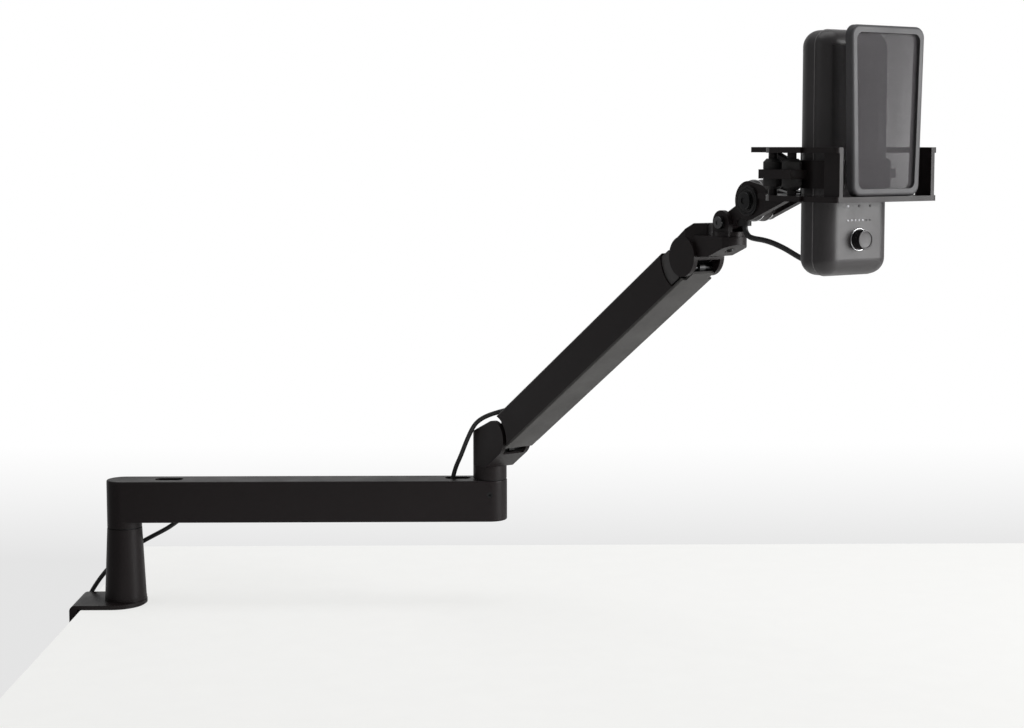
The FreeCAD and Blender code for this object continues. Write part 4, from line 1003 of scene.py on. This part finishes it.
def desk_material():
    """Pale laminate that is seen nearly even by the camera and keeps a soft shadow, with painted shade
    making it darker towards the camera.
    """
    tree, shader, where = base_material("desk_top")
    fleck = noise_node(tree, where, scale=40.0, detail=4.0)
    tint = tree.nodes.new("ShaderNodeRGB")
    tint.outputs[0].default_value = (*colours().desk, 1.0)
    split = tree.nodes.new("ShaderNodeSeparateXYZ")
    tree.links.new(where, split.inputs["Vector"])
    # Painted shade: the desk's colour darkens towards the camera and lightens towards the back; the specks
    # then vary it a little.
    painted_falloff_and_specks = range_node(tree, split.outputs["Y"], low=-0.7, high=0.2, to_low=0.955, to_high=1.03)
    specks = range_node(tree, fleck, low=0.3, high=0.7, to_low=0.994, to_high=1.006)
    painted_falloff_and_specks = math_node(tree, "MULTIPLY", painted_falloff_and_specks, specks)
    top = shaded_colour(tree, tint.outputs[0], painted_falloff_and_specks)
    tree.links.new(top, shader.inputs["Base Color"])
    shader.inputs["Roughness"].default_value = 0.55
    shader.inputs["Specular IOR Level"].default_value = 0.15
    even = tree.nodes.new("ShaderNodeEmission")
    tree.links.new(top, even.inputs["Color"])
    path = tree.nodes.new("ShaderNodeLightPath")
    share = math_node(tree, "MULTIPLY", path.outputs["Is Camera Ray"], EVEN_SHARE)
    mix = tree.nodes.new("ShaderNodeMixShader")
    tree.links.new(share, mix.inputs["Fac"])
    tree.links.new(shader.outputs[0], mix.inputs[1])
    tree.links.new(even.outputs[0], mix.inputs[2])
    tree.links.new(mix.outputs[0], tree.nodes["Material Output"].inputs["Surface"])
    return MATERIALS["desk_top"]


def backdrop_material():
    """White above, with painted shade making it a little greyer near the desk's far edge, and dimmer in
    reflections.
    """
    material = bpy.data.materials.new("backdrop")
    material.use_nodes = True
    tree = material.node_tree
    tree.nodes.clear()
    out = tree.nodes.new("ShaderNodeOutputMaterial")
    where = tree.nodes.new("ShaderNodeTexCoord")
    split = tree.nodes.new("ShaderNodeSeparateXYZ")
    tree.links.new(where.outputs["Object"], split.inputs["Vector"])
    ramp = tree.nodes.new("ShaderNodeValToRGB")
    height = range_node(tree, split.outputs["Z"], low=-1.2, high=0.6, to_low=0.0, to_high=1.0)
    tree.links.new(height, ramp.inputs["Fac"])
    # Painted shade: the lower stop greys the backdrop towards the bottom.
    stops = ramp.color_ramp.elements
    stops[0].position = 0.27
    stops[0].color = (0.78, 0.78, 0.78, 1.0)
    stops[1].position = 0.44
    stops[1].color = (1.0, 1.0, 1.0, 1.0)
    seen = tree.nodes.new("ShaderNodeEmission")
    tree.links.new(ramp.outputs["Color"], seen.inputs["Color"])
    plain = tree.nodes.new("ShaderNodeBsdfDiffuse")
    plain.inputs["Color"].default_value = (0.85, 0.85, 0.85, 1.0)
    path = tree.nodes.new("ShaderNodeLightPath")
    rays = math_node(tree, "MULTIPLY", path.outputs["Is Glossy Ray"], MIRRORED_SHARE)
    rays = math_node(tree, "MAXIMUM", rays, path.outputs["Is Camera Ray"])
    rays = math_node(tree, "MAXIMUM", rays, path.outputs["Is Transmission Ray"])
    mix = tree.nodes.new("ShaderNodeMixShader")
    tree.links.new(rays, mix.inputs["Fac"])
    tree.links.new(plain.outputs[0], mix.inputs[1])
    tree.links.new(seen.outputs[0], mix.inputs[2])
    tree.links.new(mix.outputs[0], out.inputs["Surface"])
    return material


def world_light():
    world = bpy.data.worlds.new("studio")
    bpy.context.scene.world = world
    world.use_nodes = True
    tree = world.node_tree
    shade = tree.nodes["Background"]
    shade.inputs["Color"].default_value = (1.0, 1.0, 1.0, 1.0)
    path = tree.nodes.new("ShaderNodeLightPath")
    strength = range_node(tree, path.outputs["Is Camera Ray"], low=0.0, high=1.0, to_low=0.26, to_high=1.0)
    tree.links.new(strength, shade.inputs["Strength"])


class BOOM_OT_stage(bpy.types.Operator):
    """Pale desk slab, white backdrop and soft studio light"""

    bl_idname = "boom.stage"
    bl_label = "Stage"

    def execute(self, context):
        thick = sizes().desk_thickness
        low = Vector((-0.034, -1.75, -thick))
        high = Vector((1.5, 0.23, 0.0))
        deselect()
        bpy.ops.mesh.primitive_cube_add(size=1.0)
        desk = name_new("desk_slab")
        desk.scale = high - low
        desk.location = (high + low) / 2
        bpy.ops.object.transform_apply(location=True, rotation=True, scale=True)
        round_edges(desk, width=0.0012, segments=3)
        desk.data.materials.append(desk_material())
        deselect()
        bpy.ops.mesh.primitive_plane_add(size=1.0)
        back = name_new("backdrop")
        back.scale = (14.0, 9.0, 1.0)
        back.rotation_euler = (math.radians(90.0), 0.0, 0.0)
        back.location = (0.3, 3.4, 1.2)
        bpy.ops.object.transform_apply(location=True, rotation=True, scale=True)
        back.data.materials.append(backdrop_material())
        world_light()
        area_light("key", place=(2.0, -0.78, 0.68), aim=(0.5, -0.25, 0.3), size=(1.0, 1.1), power=36.0)
        area_light("top", place=(0.25, -0.15, 1.9), aim=(0.25, -0.15, 0.0), size=(1.8, 1.2), power=12.0)
        area_light("left", place=(-1.6, -1.2, 0.9), aim=(0.2, -0.1, 0.15), size=(1.0, 1.0), power=1.5)
        context.scene.view_settings.view_transform = "Standard"
        return {"FINISHED"}


class BOOM_OT_camera(bpy.types.Operator):
    """Camera at the photograph's place"""

    bl_idname = "boom.camera"
    bl_label = "Camera"

    def execute(self, context):
        data = bpy.data.cameras.new("camera")
        data.lens = 66.832
        data.sensor_width = 36.0
        data.shift_x = -0.0293
        data.shift_y = -0.0538
        data.clip_end = 50.0
        camera = bpy.data.objects.new("camera", data)
        camera.location = (0.32687, -1.59703, 0.39073)
        camera.rotation_euler = (math.radians(85.0), 0.0, -0.0171)
        context.scene.collection.objects.link(camera)
        context.scene.camera = camera
        return {"FINISHED"}


# Panel and registration


class BOOM_PT_panel(bpy.types.Panel):
    """Lists the boom arm's settings and steps"""

    bl_idname = "BOOM_PT_panel"
    bl_label = "Boom arm"
    bl_space_type = "VIEW_3D"
    bl_region_type = "UI"
    bl_category = "Boom arm"

    def draw(self, context):
        for settings in (context.scene.boom_sizes, context.scene.boom_colours):
            for key in settings.__annotations__:
                self.layout.prop(settings, key)
        for step in STEPS:
            self.layout.operator(step.bl_idname)


STEPS = (
    BOOM_OT_camera,
    BOOM_OT_lead,
    BOOM_OT_finishes,
    BOOM_OT_dial,
    BOOM_OT_lamps,
    BOOM_OT_seam,
    BOOM_OT_screw_heads,
    BOOM_OT_spring,
    BOOM_OT_stage,
)
CLASSES = (BoomSizes, BoomColours, *STEPS, BOOM_PT_panel)


def register():
    for item in CLASSES:
        bpy.utils.register_class(item)
    bpy.types.Scene.boom_sizes = bpy.props.PointerProperty(type=BoomSizes)
    bpy.types.Scene.boom_colours = bpy.props.PointerProperty(type=BoomColours)


def unregister():
    del bpy.types.Scene.boom_colours
    del bpy.types.Scene.boom_sizes
    for item in reversed(CLASSES):
        bpy.utils.unregister_class(item)


def main():
    register()
    make_materials()
    bpy.ops.boom.camera()
    bpy.ops.boom.lead()
    bpy.ops.boom.finishes()
    bpy.ops.boom.dial()
    bpy.ops.boom.lamps()
    bpy.ops.boom.seam()
    bpy.ops.boom.screw_heads()
    bpy.ops.boom.spring()
    bpy.ops.boom.stage()


if __name__ == "__main__":
    main()
